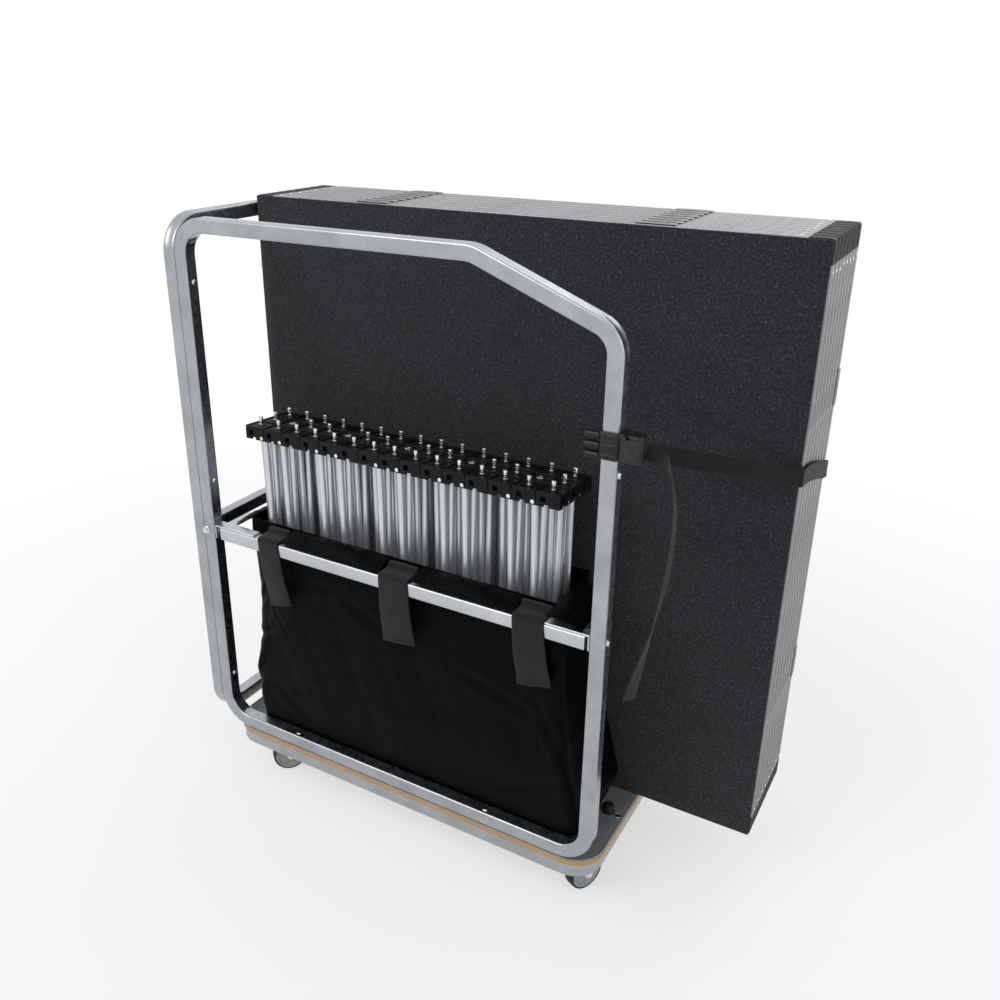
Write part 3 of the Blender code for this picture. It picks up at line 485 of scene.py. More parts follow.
tyreRubber = mouldedFinish("tyreRubber", dict(dark=(0.012, 0.012, 0.013), light=(0.035, 0.034, 0.034), patch=60.0,
    skin=1100.0, rough=(0.55, 0.8), specular=0.25, height=0.0001))
buttonRubber = mouldedFinish("buttonRubber", dict(dark=(0.01, 0.01, 0.011), light=(0.024, 0.023, 0.023), patch=90.0,
    skin=1500.0, rough=(0.5, 0.75), specular=0.25, height=0.0001))
deckCarpet = carpetFinish("deckCarpet", dict(fibre=430.0, tuft=240.0, tread=7.0, dark=(0.006, 0.0058, 0.0075),
    middle=(0.022, 0.0215, 0.026), light=(0.085, 0.083, 0.095), fleck=(0.08, 0.078, 0.09)))
tabWebbing = webbingFinish("tabWebbing", dict(rib=0.0018, yarn=0.0012, dark=(0.01, 0.01, 0.012),
    light=(0.017, 0.017, 0.02)))
strapWebbing = webbingFinish("strapWebbing", dict(rib=0.0016, yarn=0.0011, dark=(0.005, 0.005, 0.006),
    light=(0.01, 0.01, 0.012)))
bagNylon = nylonFinish("bagNylon", dict(dark=(0.0006, 0.0006, 0.0007), light=(0.0014, 0.0014, 0.0016), thread=0.0009,
    rough=(0.36, 0.55), specular=0.05))
plyEdge = plyFinish("plyEdge", dict(dark=(0.3, 0.19, 0.1), light=(0.6, 0.41, 0.24), ply=0.0052))
print("finishes made:", len(bpy.data.materials))

# Camera, at the photograph's viewing angle.
view = dict(place=(0.75245, -1.3593, 1.3131), tilt=67.369, turn=30.838, lens=35.0, sensor=36.0, shiftX=0.0407,
    shiftY=-0.0208)
lens = bpy.data.cameras.new("viewLens")
lens.lens, lens.sensor_width = view["lens"], view["sensor"]
lens.shift_x, lens.shift_y = view["shiftX"], view["shiftY"]
camera = linked("viewCamera", lens)
camera.location = view["place"]
camera.rotation_euler = (math.radians(view["tilt"]), 0, math.radians(view["turn"]))
bpy.context.scene.camera = camera

# Clip and webbing tail: the tail leaves the clip's nose upright, turns level by a quarter and hangs.
clipSize = dict(wall=0.004, nose=0.0343, ribs=3, ribHeight=0.0088, ribPitch=0.0145, ribOut=0.0046, ribRound=0.009,
    fingerReach=0.0255, fingerDeep=0.0125, bandHeight=0.042, leverThick=0.0034, leverLength=0.0272, leverIn=0.0047,
    pinRadius=0.0017, lug=0.004, clear=0.0002)
tailSize = dict(width=0.0252, thick=0.0015, drop=0.402, reach=0.0452, outFromNose=0.0026, inFromFront=0.0086,
    swing=0.008, bow=0.0006)
frontLow, frontHigh = nodeBox("front_frame")
clipLow, clipHigh = nodeBox("clip_body")
uprightRight = frontHigh[0]                      # outer face of the right upright
clipMiddle = (clipLow[2] + clipHigh[2]) / 2
noseX = uprightRight + clipSize["nose"] + tailSize["outFromNose"]
# Each row: share of the reach, share of the drop, and the way that the webbing is wide.
tailKeys = np.array([(0.0, 0.0, 0.0, 0.1, 1.0), (0.248, 0.006, -0.1, 0.35, 0.93), (0.58, 0.033, -0.3, 0.75, 0.6),
    (0.823, 0.086, -0.45, 0.85, 0.3), (0.967, 0.183, -0.5, 0.86, 0.1), (1.0, 0.295, -0.51, 0.86, 0.0),
    (0.912, 0.462, -0.5, 0.86, 0.0), (0.662, 0.627, -0.3, 0.95, 0.0), (0.425, 0.766, 0.05, 1.0, 0.0),
    (0.181, 0.893, 0.35, 0.93, 0.0), (-0.013, 1.0, 0.55, 0.83, 0.0)])
tailPath = smoothPath(np.column_stack([noseX + tailSize["reach"] * tailKeys[:, 0],
    frontLow[1] + tailSize["inFromFront"] + tailSize["swing"] * np.minimum(1, tailKeys[:, 1] * 5),
    clipMiddle - tailSize["drop"] * tailKeys[:, 1]]), 5)
tailWide = smoothPath(tailKeys[:, 2:], 5)
newPiece("strapTail", sweptShape(tailPath, ribbonSection(tailSize["width"], tailSize["thick"], 10, tailSize["bow"]),
    tailWide), tabWebbing, ["strap_tail"])
print("camera and webbing tail placed")

# Square tube frames of the trolley.
tubeSize = dict(side=0.025, edge=0.003, bend=0.052, shoulderBend=0.0442, crestBend=0.0598, shoulderRun=0.2203,
    shoulderDrop=0.0868, bendSteps=24, barRise=0.4175, barSide=0.0232, barIn=0.006, sink=0.0013, pucker=0.0007,
    bead=0.0009, beadSwell=0.0003, beadWave=1.9)


def tubeLoop(corners, radii, origin, axes):
    # A closed square tube: the flat path laid along the first two axes, the section swept round it. In a
    # bend the outer wall sinks by a power of the sine of the turn, and the inner one puckers in short waves.
    flat = roundedPath(corners, radii, tubeSize["bendSteps"])
    axes = np.asarray(axes, float)
    path = np.asarray(origin, float) + flat[:, :1] * axes[0] + flat[:, 1:] * axes[1]
    side = tubeSize["side"]
    section = squareSection(side, side, tubeSize["edge"], cells=8)
    outward = np.linalg.det(axes) * section[:, 1] / (side / 2)
    turn = np.tile(np.linspace(0, 1, tubeSize["bendSteps"] + 1), len(corners))[:, None]
    bell = np.cos(np.pi / 2 * np.clip(np.abs(section[:, 0]) / (0.42 * side), 0, 1)) ** 2
    sunk = tubeSize["sink"] * np.sin(np.pi * turn) ** 0.7 * np.clip(outward, 0, 1) ** 8 * bell
    inward = np.clip(-outward, 0, 1) ** 8 * bell
    puckered = tubeSize["pucker"] * np.sin(np.pi * turn) * np.cos(7 * np.pi * turn) * inward
    loops = np.repeat(section[None], len(path), axis=0)
    loops[..., 1] -= np.linalg.det(axes) * (sunk + puckered)
    return sweptShape(path, loops, axes[2], closed=True)


def seamShape(centre, along, side):
    # A weld seam round a square tube: a thin bead whose radius swells and shrinks along the run.
    axes = facing(along)
    flat = roundedPath(rect(-side, -side, side, side), tubeSize["edge"], 3)
    flat = smoothPath(np.concatenate([flat, flat[:1]]), 4)[:-1]
    radius = tubeSize["bead"] + tubeSize["beadSwell"] * np.sin(np.arange(len(flat)) * tubeSize["beadWave"])
    bead = circleSection(1.0, 6)[None] * radius[:, None, None]
    path = np.asarray(centre, float) + flat[:, :1] * axes[0] + flat[:, 1:] * axes[1]
    return sweptShape(path, bead, axes[2], closed=True)


halfTube = tubeSize["side"] / 2
left, right = frontLow[0] + halfTube, frontHigh[0] - halfTube
foot, top = frontLow[2] + halfTube, frontHigh[2] - halfTube
frontMid = (frontLow[1] + frontHigh[1]) / 2
frontCorners = [(left, foot), (right, foot), (right, top - tubeSize["shoulderDrop"]),
    (right - tubeSize["shoulderRun"], top), (left, top)]
bend = tubeSize["bend"]
newPiece("frontFrame", tubeLoop(frontCorners, [bend, bend, tubeSize["shoulderBend"], tubeSize["crestBend"], bend],
    (0, frontMid, 0), ((1, 0, 0), (0, 0, 1), (0, 1, 0))), platedSteel, ["front_frame"])

endLow, endHigh = nodeBox("end_frame")
endX = (endLow[0] + endHigh[0]) / 2
endFront, endRear = endLow[1] + halfTube, endHigh[1] - halfTube
boardLow, boardHigh = nodeBox("base_board")
barZ = boardHigh[2] + tubeSize["barRise"]
bar = sweptShape([(endX, endFront + tubeSize["barIn"], barZ), (endX, endRear - tubeSize["barIn"], barZ)],
    squareSection(tubeSize["barSide"], tubeSize["barSide"], tubeSize["edge"]))
newPiece("endFrame", joined(tubeLoop(rect(endFront, foot, endRear, top), bend, (endX, 0, 0),
    ((0, 1, 0), (0, 0, 1), (1, 0, 0))), bar), platedSteel, ["end_frame"])

# Base: tube loop, caster plates and heads, then the board with its laminate and plywood edge.
baseSize = dict(plateSide=0.066, plateThick=0.003, headRadius=0.02, boardCorner=0.055, frameInset=0.002,
    laminate=0.0011, plateCorner=0.005, nutIn=0.009, nutShare=0.72)
baseLow, baseHigh = nodeBox("base_frame")
baseTop = baseHigh[2]
inset = baseSize["frameInset"] + halfTube
xs, ys = (boardLow[0] + inset, boardHigh[0] - inset), (boardLow[1] + inset, boardHigh[1] - inset)
baseShapes = [tubeLoop(rect(xs[0], ys[0], xs[1], ys[1]), baseSize["boardCorner"] - inset, (0, 0, baseTop - halfTube),
    np.eye(3))]
pivots = {place: np.array(joints[place + "_swivel"]["pos_m"], float)
    for place in ("front_right", "front_left", "rear_right", "rear_left")}
for place, pivot in pivots.items():
    side = baseSize["plateSide"] / 2
    edge = ys[0] if place.startswith("front") else ys[1]
    inner = pivot[1] - math.copysign(side, edge - pivot[1])
    outline = roundedPath(rect(pivot[0] - side, inner, pivot[0] + side, edge), baseSize["plateCorner"], 4)
    baseShapes.append(plateShape(outline, baseTop - baseSize["plateThick"], baseTop))
    r, low = baseSize["headRadius"], baseLow[2]
    head = [(0, low), (0.6 * r, low), (0.93 * r, low + 0.0006), (r, low + 0.002), (r, low + 0.006),
        (0.86 * r, low + 0.009), (0.8 * r, low + 0.016), (0.9 * r, baseTop - 0.004), (0.9 * r, baseTop - 0.001),
        (0, baseTop - 0.001)]
    baseShapes.append(placed(turnedShape(head, 36), (pivot[0], pivot[1], 0)))
newPiece("baseFrame", joined(*baseShapes), platedSteel, ["base_frame"])

boardOutline = roundedPath(rect(boardLow[0], boardLow[1], boardHigh[0], boardHigh[1]), baseSize["boardCorner"], 14)
skin = baseSize["laminate"]
newPiece("boardCore", plateShape(boardOutline, boardLow[2], boardHigh[2] - skin, 0.0004), plyEdge, ["base_board"])
newPiece("boardTop", plateShape(boardOutline, boardHigh[2] - skin, boardHigh[2]), laminateTop)


def boltShape(across, height, washer):
    # A hexagon head with a chamfered crown on a washer, standing along z from the surface at 0.
    a = across / 2 / math.cos(math.pi / 6)
    washerShape = turnedShape([(0, -0.0004), (washer, -0.0004), (washer, 0.0008), (washer - 0.0004, 0.0012),
        (0, 0.0012)], 24)
    head = turnedShape([(0, 0.001), (a, 0.001), (a, height - 0.0006), (a * 0.9, height), (0, height)], 6)
    return joined(washerShape, head)


def domeShape(radius, height, sides=20):
    # A shallow domed head: height times the square root of one less the radius share squared.
    share = np.linspace(1, 0, 6)
    profile = [(0, -0.0004), (radius, -0.0004)] + [(radius * s, height * math.sqrt(1 - s * s)) for s in share]
    return turnedShape(profile, sides)


# Fixings on the trolley: places on the uprights, on the bottom rail and under the base.
fixings = dict(innerHeights=(0.991, 0.632, 0.22), sideHeights=(0.806, 0.539), frontBolt=(-0.484, 0.533),
    railTops=(-0.305, 0.1075), tipXs=(-0.3833, -0.087, 0.2088), seamX=-0.0854, tipDrop=0.0045,
    innerDome=(0.0048, 0.0026), railDome=(0.005, 0.002), sideBolt=(0.0085, 0.0036, 0.0062),
    endBolt=(0.0105, 0.005, 0.0078), nut=(0.0085, 0.0052, 0.007), aside=0.002)
innerDome, railDome = (domeShape(*fixings[key]) for key in ("innerDome", "railDome"))
sideBolt, endBolt, nut = (boltShape(*fixings[key]) for key in ("sideBolt", "endBolt", "nut"))
aside, (boltX, boltZ) = fixings["aside"], fixings["frontBolt"]
spots = [(innerDome, (left + halfTube, frontMid + aside, z), (1, 0, 0)) for z in fixings["innerHeights"]]
spots += [(sideBolt, (right + halfTube, frontMid - aside, z), (1, 0, 0)) for z in fixings["sideHeights"]]
spots += [(endBolt, (boltX, frontLow[1], boltZ), (0, -1, 0))]
spots += [(railDome, (x, frontMid - aside, foot + halfTube), (0, 0, 1)) for x in fixings["railTops"]]
boltShapes = [placed(shape, spot, facing(way)) for shape, spot, way in spots]
for x in fixings["tipXs"]:
    tip = [(0, -fixings["tipDrop"]), (0.0024, -fixings["tipDrop"]), (0.003, -fixings["tipDrop"] + 0.0006),
        (0.003, 0.0006), (0, 0.0006)]
    boltShapes.append(placed(turnedShape(tip, 12), (x, ys[0], baseTop - tubeSize["side"])))
for pivot in pivots.values():
    reach = baseSize["plateSide"] / 2 - baseSize["nutIn"]
    for dx, dy in ((-1, -1), (1, -1), (1, 1), (-1, 1)):
        spot = (pivot[0] + dx * reach, pivot[1] + dy * reach * baseSize["nutShare"], baseTop - baseSize["plateThick"])
        boltShapes.append(placed(nut, spot, facing((0, 0, -1))))
newPiece("trolleyFixings", joined(*boltShapes), zincPlate)
seams = [seamShape((fixings["seamX"], frontMid, foot), (1, 0, 0), halfTube)]
for y in (endLow[1] + tubeSize["side"], endHigh[1] - tubeSize["side"]):
    seams.append(seamShape((endX, y, barZ), (0, 1, 0), tubeSize["barSide"] / 2 + 0.0002))
newPiece("weldSeams", joined(*seams), platedSteel)
print("trolley frames, board and fixings made")

# Rail that the bag hangs from, with a flat bracket at each end.
railSize = dict(side=0.024, edge=0.0026, bracket=0.003, leg=0.078, width=0.02, startIn=0.0152, endIn=0.0072,
    stem=0.0145, toe=0.015, setBack=0.002)
railLow, railHigh = nodeBox("bag_rail")
railMid = railLow[2] + railSize["side"] / 2
railY = railLow[1] + railSize["side"] / 2
railShapes = [sweptShape([(railLow[0] + railSize["startIn"], railY, railMid),
    (railHigh[0] - railSize["endIn"], railY, railMid)],
    squareSection(railSize["side"], railSize["side"], railSize["edge"]))]
bracketLow, bracketHigh = railHigh[2] - railSize["bracket"] - 0.0004, railHigh[2]
for end, way in ((railLow[0], 1), (railHigh[0], -1)):
    w, leg = railSize["width"], railSize["leg"]
    stem, toe, y0 = railSize["stem"], leg + railSize["toe"], railLow[1] + railSize["setBack"]
    outline = [(0, y0), (toe, y0), (toe, y0 + w), (stem + w, y0 + w), (stem + w, railLow[1] + leg),
        (stem, railLow[1] + leg), (stem, y0 + w), (0, y0 + w)]
    flat = roundedPath(outline, [0.0008, 0.003, 0.003, 0.004, 0.003, 0.003, 0.002, 0.0008], 4) * (way, 1) + (end, 0)
    railShapes.append(plateShape(flat, bracketLow, bracketHigh, 0.0006))
    lip = sorted((end, end + way * railSize["bracket"]))
    railShapes.append(roundBlock((lip[0], y0, railLow[2]), (lip[1], y0 + w, bracketHigh - 0.0002), 0.0006, 2))
newPiece("bagRail", joined(*railShapes), railAluminium, ["bag_rail"])

# Rubber button and the ringed hole beside it, the hole's depth a dark disc of painted shade.
buttonLow, buttonHigh = nodeBox("rubber_button")
buttonSize = dict(ring=0.0058, ringPlace=(0.301, -0.062))
centre = (buttonLow + buttonHigh) / 2
radius, height = (buttonHigh[0] - buttonLow[0]) / 2, buttonHigh[2] - buttonLow[2]
profile = [(0, 0), (radius, 0), (radius, 0.14 * height), (0.9 * radius, 0.2 * height), (0.9 * radius, 0.7 * height),
    (0.86 * radius, 0.85 * height), (0.74 * radius, 0.96 * height), (0.6 * radius, height), (0.22 * radius, height),
    (0.18 * radius, 0.9 * height), (0, 0.9 * height)]
newPiece("rubberButton", placed(turnedShape(profile, 32), (centre[0], centre[1], buttonLow[2])), buttonRubber,
    ["rubber_button"])
ring = buttonSize["ring"]
eyelet = turnedShape([(ring, 0), (ring, 0.0006), (ring - 0.0006, 0.001), (ring - 0.0016, 0.0006),
    (ring - 0.0018, 0)], 28, ring=True)
newPiece("boardEyelet", placed(eyelet, (*buttonSize["ringPlace"], boardHigh[2] + 0.0001)), zincPlate)
# A thin dark disc inside the ring stands for the hole's depth: painted shade.
holeShade = turnedShape(rect(0, 0, ring - 0.0014, 0.0003), 24)
newPiece("boardEyeletHole", placed(holeShade, (*buttonSize["ringPlace"], boardHigh[2] + 0.0001)), buttonRubber)
print("rail, brackets and button made")

# Decks: carpet, extruded edge bars, corner pieces, link plates and the underside board.
deckSize = dict(side=1.0, carpet=0.006, edgeWide=0.018, leg=0.035, thick=0.0236, cornerRound=0.005, wobble=0.0005,
    link=0.06, linkWide=0.015, linkRaise=0.002, linkLow=0.0008, slot=0.04, slotWide=0.003, board=0.01, cells=44,
    groove=0.0032, setBack=0.0013, clear=0.0003, screwShare=0.62)


def carpetShape(low, high, seed):
    # A thin slab stacked as rings from the lower edge to the upper one. A ring is a long rectangle with round
    # ends; its size shrinks at both edges along a quarter circle, and the cut edges wander by a ripple.
    r, n = 0.0014, deckSize["cells"]
    arc = np.linspace(0, np.pi, 5)[1:-1]
    x0, x1, y0, y1 = low[0] + r, high[0] - r, low[1], high[1]
    line = np.linspace(0, 1, n + 1)
    half = (y1 - y0) / 2
    x = np.concatenate([x0 + (x1 - x0) * line, x1 + r * np.sin(arc), x1 - (x1 - x0) * line, x0 - r * np.sin(arc)])
    y = np.concatenate([np.full(n + 1, -1.0), -np.cos(arc), np.full(n + 1, 1.0), np.cos(arc)])
    turn = np.linspace(0, np.pi / 2, 4)
    z = np.concatenate([low[2] + r * (1 - np.cos(turn)), np.linspace(low[2] + r, high[2] - r, n)[1:-1],
        high[2] - r * (1 - np.cos(turn[::-1]))])
    shrink = r * np.concatenate([1 - np.sin(turn), np.zeros(n - 2), 1 - np.sin(turn[::-1])])[:, None]
    middle = (low[0] + high[0]) / 2
    x = np.repeat(x[None], len(z), axis=0)
    side = np.clip((np.abs(x - middle) / (deckSize["side"] / 2)) ** 24, 0, 1) * np.sign(x - middle)
    x = x - side * (shrink + deckSize["wobble"] * 0.5
        + ripple(z, seed, (0.31, 0.11, 0.047, 0.023), deckSize["wobble"] * 0.5)[:, None])
    upright = (z - (low[2] + high[2]) / 2) / (deckSize["side"] / 2)
    rise = np.sign(upright) * np.abs(upright) ** 24
    wander = deckSize["wobble"] * 0.5 + ripple(x, seed + 1, (0.27, 0.13, 0.051, 0.021), deckSize["wobble"] * 0.5)
    zs = z[:, None] - rise[:, None] * wander
    ys = (y0 + y1) / 2 + y[None] * (half - shrink)
    return gridShape(np.stack([x, ys, zs], axis=2), closedV=True, capped=True)


def slottedPlate(length, width, high, slot, slotWide):
    # A raised plate with a long slot: outer loop up, its rim in, across to the slot's loop and down it.
    outer = roundedPath(rect(-length / 2, -width / 2, length / 2, width / 2), 0.003, 4)
    rim = outer * ((length - 0.0012) / length, (width - 0.0012) / width)
    inner = roundedPath(rect(-slot / 2, -slotWide / 2, slot / 2, slotWide / 2), slotWide * 0.48, 4)
    levels = ((outer, -0.0008), (outer, high - 0.0006), (rim, high), (inner, high), (inner, high - 0.0016))
    return stackShape(levels)


def barSection():
    # The edge bar's section as outward reach and depth: rounded lips, a deep groove by the carpet, a thin line
    # near the back.
    w, d1, deep = (deckSize[key] for key in ("edgeWide", "thick", "groove"))
    d0 = deckSize["carpet"] + deckSize["clear"]
    return np.array([(-w, d0), (-0.0007, d0), (-0.0002, d0 + 0.0002), (0, d0 + 0.0008), (0, d0 + 0.0034),
        (-0.0004, d0 + 0.0038), (-deep, d0 + 0.004), (-deep, d0 + 0.0068), (-0.0004, d0 + 0.007), (0, d0 + 0.0074),
        (0, d1 - 0.003), (-0.0003, d1 - 0.0027), (-0.0012, d1 - 0.0025), (-0.0012, d1 - 0.0016),
        (-0.0003, d1 - 0.0014), (0, d1 - 0.0011), (0, d1 - 0.0006), (-0.0006, d1), (-w + 0.0006, d1),
        (-w, d1 - 0.0006)])


def deckPieces(number):
    low, high = nodeBox(f"deck_{number}_panel")
    x0, y0, z0 = low
    x1, z1 = high[0], high[2]
    body, leg = f"deck_{number}", deckSize["leg"] + deckSize["clear"]
    slab, setBack = deckSize["carpet"], deckSize["setBack"]
    felt = carpetShape((x0 + setBack, y0, z0 + setBack), (x1 - setBack, y0 + slab, z1 - setBack), 40 + 7 * number)
    newPiece(f"deck{number}Carpet", felt, deckCarpet, [f"deck_{number}_panel"], body, angle=60)
    runs = [((x1 - leg, z1), (x0 + leg, z1), (0, 0, 1)), ((x1, z0 + leg), (x1, z1 - leg), (1, 0, 0)),
        ((x0 + leg, z0), (x1 - leg, z0), (0, 0, -1)), ((x0, z1 - leg), (x0, z0 + leg), (-1, 0, 0))]
    bars, screws = [], []
    screw = turnedShape([(0, 0.0002), (0.0011, 0.0002), (0.0013, 0.0005), (0.0026, 0.0005), (0.003, -0.0002),
        (0, -0.0002)], 10)
    depth = slab + deckSize["clear"] + (deckSize["thick"] - slab) * deckSize["screwShare"]
    for start, end, out in runs:
        a, b = np.array((start[0], y0, start[1])), np.array((end[0], y0, end[1]))
        bars.append(sweptShape([a, b], barSection(), out))
        for near, far in ((a, b), (b, a)):
            spot = near + (far - near) * (0.01 + 0.0016 * ((number * 5) % 4)) + np.array((0, depth, 0))
            screws.append(placed(screw, spot, facing(out, (0, 1, 0))))
    cornersAndShade = []
    link, wide, slot, slotWide = (deckSize[key] for key in ("link", "linkWide", "slot", "slotWide"))
    sideRaise = deckSize["linkRaise"] if number == deckNumbers[-1] else deckSize["linkLow"]
    middle = y0 + (deckSize["carpet"] + deckSize["thick"]) / 2
    for share in (0.25, 0.75):
        spots = (((x0 + (x1 - x0) * share, middle, z1), ((1, 0, 0), (0, -1, 0), (0, 0, 1)), deckSize["linkRaise"]),
            ((x1, middle, z0 + (z1 - z0) * share), ((0, 0, 1), (0, 1, 0), (1, 0, 0)), sideRaise))
        for spot, axes, high in spots:
            bars.append(placed(slottedPlate(link, wide, high, slot, slotWide), spot, axes))
            # A dark block on the slot's floor: painted shade in the slot.
            cornersAndShade.append(placed(roundBlock((-slot / 2, -slotWide / 2, 0.0001),
                (slot / 2, slotWide / 2, max(high - 0.001, 0.0004)), 0.0002), spot, axes))
        # A thin dark strip along the front foot of the top plate: painted shadow.
        cornersAndShade.append(placed(roundBlock((-link / 2, wide / 2 + 0.0001, -0.0004),
            (link / 2, wide / 2 + 0.0012, 0.0016), 0.0003), *spots[0][:2]))
    newPiece(f"deck{number}Edge", joined(*bars), deckAluminium, [f"deck_{number}_edge_frame"], body, angle=25)
    long, wide = deckSize["leg"], deckSize["edgeWide"]
    outline = roundedPath([(0, 0), (long, 0), (long, wide), (wide, wide), (wide, long), (0, long)],
        [deckSize["cornerRound"], 0.0008, 0.0015, 0.003, 0.0015, 0.0008], 4)
    layers = np.linspace(slab - 0.0012, deckSize["thick"], 4)
    corner = joined(*(plateShape(outline, low, high, 0.0008) for low, high in zip(layers[:-1], layers[1:])))
    cornerAxes = [((sx, 0, 0), (0, 0, sz), (0, 1, 0)) for sx in (1, -1) for sz in (1, -1)]
    cornerSpots = [(x0 if sx > 0 else x1, y0, z0 if sz > 0 else z1) for sx in (1, -1) for sz in (1, -1)]
    cornersAndShade += [placed(corner, spot, axes) for spot, axes in zip(cornerSpots, cornerAxes)]
    # The corner piece mesh also holds the dark slot floors and the strips of painted shade.
    newPiece(f"deck{number}Corners", joined(*cornersAndShade), cornerPlastic, body=body)
    newPiece(f"deck{number}Screws", joined(*screws), zincPlate, body=body)
    gap = deckSize["edgeWide"] + deckSize["clear"]
    board = roundBlock((x0 + gap, y0 + slab + 0.0001, z0 + gap), (x1 - gap, y0 + slab + deckSize["board"], z1 - gap),
        0.0006, 2)
    newPiece(f"deck{number}Board", board, deckUnderside, body=body)


deckNumbers = [n for n in range(1, 60) if f"deck_{n}_panel" in frame["nodes"]]
for number in deckNumbers:
    deckPieces(number)
print("decks made:", len(deckNumbers))

# Folded scissor risers: hubs, crossed tubes, studs and pivot pins.
riserSize = dict(pitchX=0.0411, pitchY=0.0395, cadClear=0.0004, cadStud=0.017, clear=0.0009, hub=0.0246, slab=0.0076,
    inset=0.0042, core=0.007, rim=0.0013, recess=0.0017, edge=0.0006, tube=0.0059, reach=0.0156, reachY=0.015,
    front=-0.0099, back=0.0021, left=-0.0105, right=0.0015, stud=0.015, pin=0.0034, disc=0.0067, lift=0.0014,
    slope=0.073, corner=0.0014, grip=0.012, pinRadius=0.0028, pinReach=0.007, domeShare=0.75, domeDrop=0.02)
hubHalf = [(riserSize[key] - riserSize["clear"]) / 2 for key in ("pitchX", "pitchY")]


def trayShape(w, d, low):
    # A slab whose top is an open tray: up the outer wall, over the rim and down to the tray's floor.
    rim, edge = riserSize["rim"], riserSize["edge"]
    levels = ((0.0004, low), (0, low + 0.0004), (0, -edge), (edge, 0), (rim - 0.0003, 0), (rim, -0.0003),
        (rim + 0.0003, -riserSize["recess"]))
    return stackShape([(roundedPath(rect(inset - w, inset - d, w - inset, d - inset), riserSize["corner"], 3), level)
        for inset, level in levels])


def hubShape():
    # One hub, its top at 0: a tray over a core that stands back, and on each side the same five moulded
    # strips, with a square pocket and an open notch between them, turned a quarter for the next side.
    w, d = hubHalf
    h, slab, back, core = riserSize["hub"], riserSize["slab"], riserSize["inset"], riserSize["core"]
    parts = [trayShape(w, d, -slab), roundBlock((-w + core, -d + core, -h + 0.0012),
        (w - core, d - core, -slab + 0.0004), 0.0006)]
    strips = ((-1.0, -0.62, -h, -slab), (-0.62, -0.38, -h, -0.017), (-0.38, -0.14, -0.0188, -0.017),
        (-0.14, 0.08, -0.0188, -slab), (0.08, 1.0, -h, -slab))
    for across, deep, axes in ((w, d, ((1, 0, 0), (0, 1, 0))), (d, w, ((0, 1, 0), (-1, 0, 0))),
            (w, d, ((-1, 0, 0), (0, -1, 0))), (d, w, ((0, -1, 0), (1, 0, 0)))):
        first = back / across
        for a, b, low, high in strips:
            a = max(a, -1.0 + first) if a < -0.9 else a      # each side stops where the last one's strip stands
            strip = roundBlock((across * a, -deep, low), (across * b, -deep + back + 0.0004, high + 0.0004), 0.0003)
            parts.append(placed(strip, axes=(*axes, (0, 0, 1))))
    floor = -riserSize["recess"]
    collar = turnedShape([(0, floor - 0.0002), (0.0088, floor - 0.0002), (0.0088, floor + 0.0005),
        (0.008, floor + 0.0009), (0, floor + 0.0009)], 20)
    return joined(*parts, collar)


def studShape():
    # A turned stud on the tray's floor: foot flange, waist, and a grooved head with a chamfered crown.
    top, floor = riserSize["stud"], -riserSize["recess"]
    head = 0.35 * top
    profile = [(0, floor), (0.0042, floor), (0.0042, 0.001), (0.0037, 0.0015), (0.0028, 0.0018),
        (0.0028, head - 0.0008), (0.0034, head - 0.0003), (0.0039, head + 0.0003), (0.0039, head + 0.003),
        (0.0036, head + 0.0033), (0.0036, head + 0.0037), (0.0039, head + 0.004), (0.0039, top - 0.0012),
        (0.0036, top - 0.0004), (0.0029, top), (0, top)]
    return turnedShape(profile, 18)


def tilted(shape, middle, foot=None, hang=None):
    # The top of a folded riser leans: z gains the lift less the slope times y from the middle, and where a
    # foot is given, that gain grows from the foot to the top.
    verts = shape["verts"].copy()
    share = 1.0 if foot is None else np.clip((verts[:, 2] - foot) / (hang - foot), 0, 1)
    verts[:, 2] += share * (riserSize["lift"] - riserSize["slope"] * (verts[:, 1] - middle))
    return {**shape, "verts": verts}


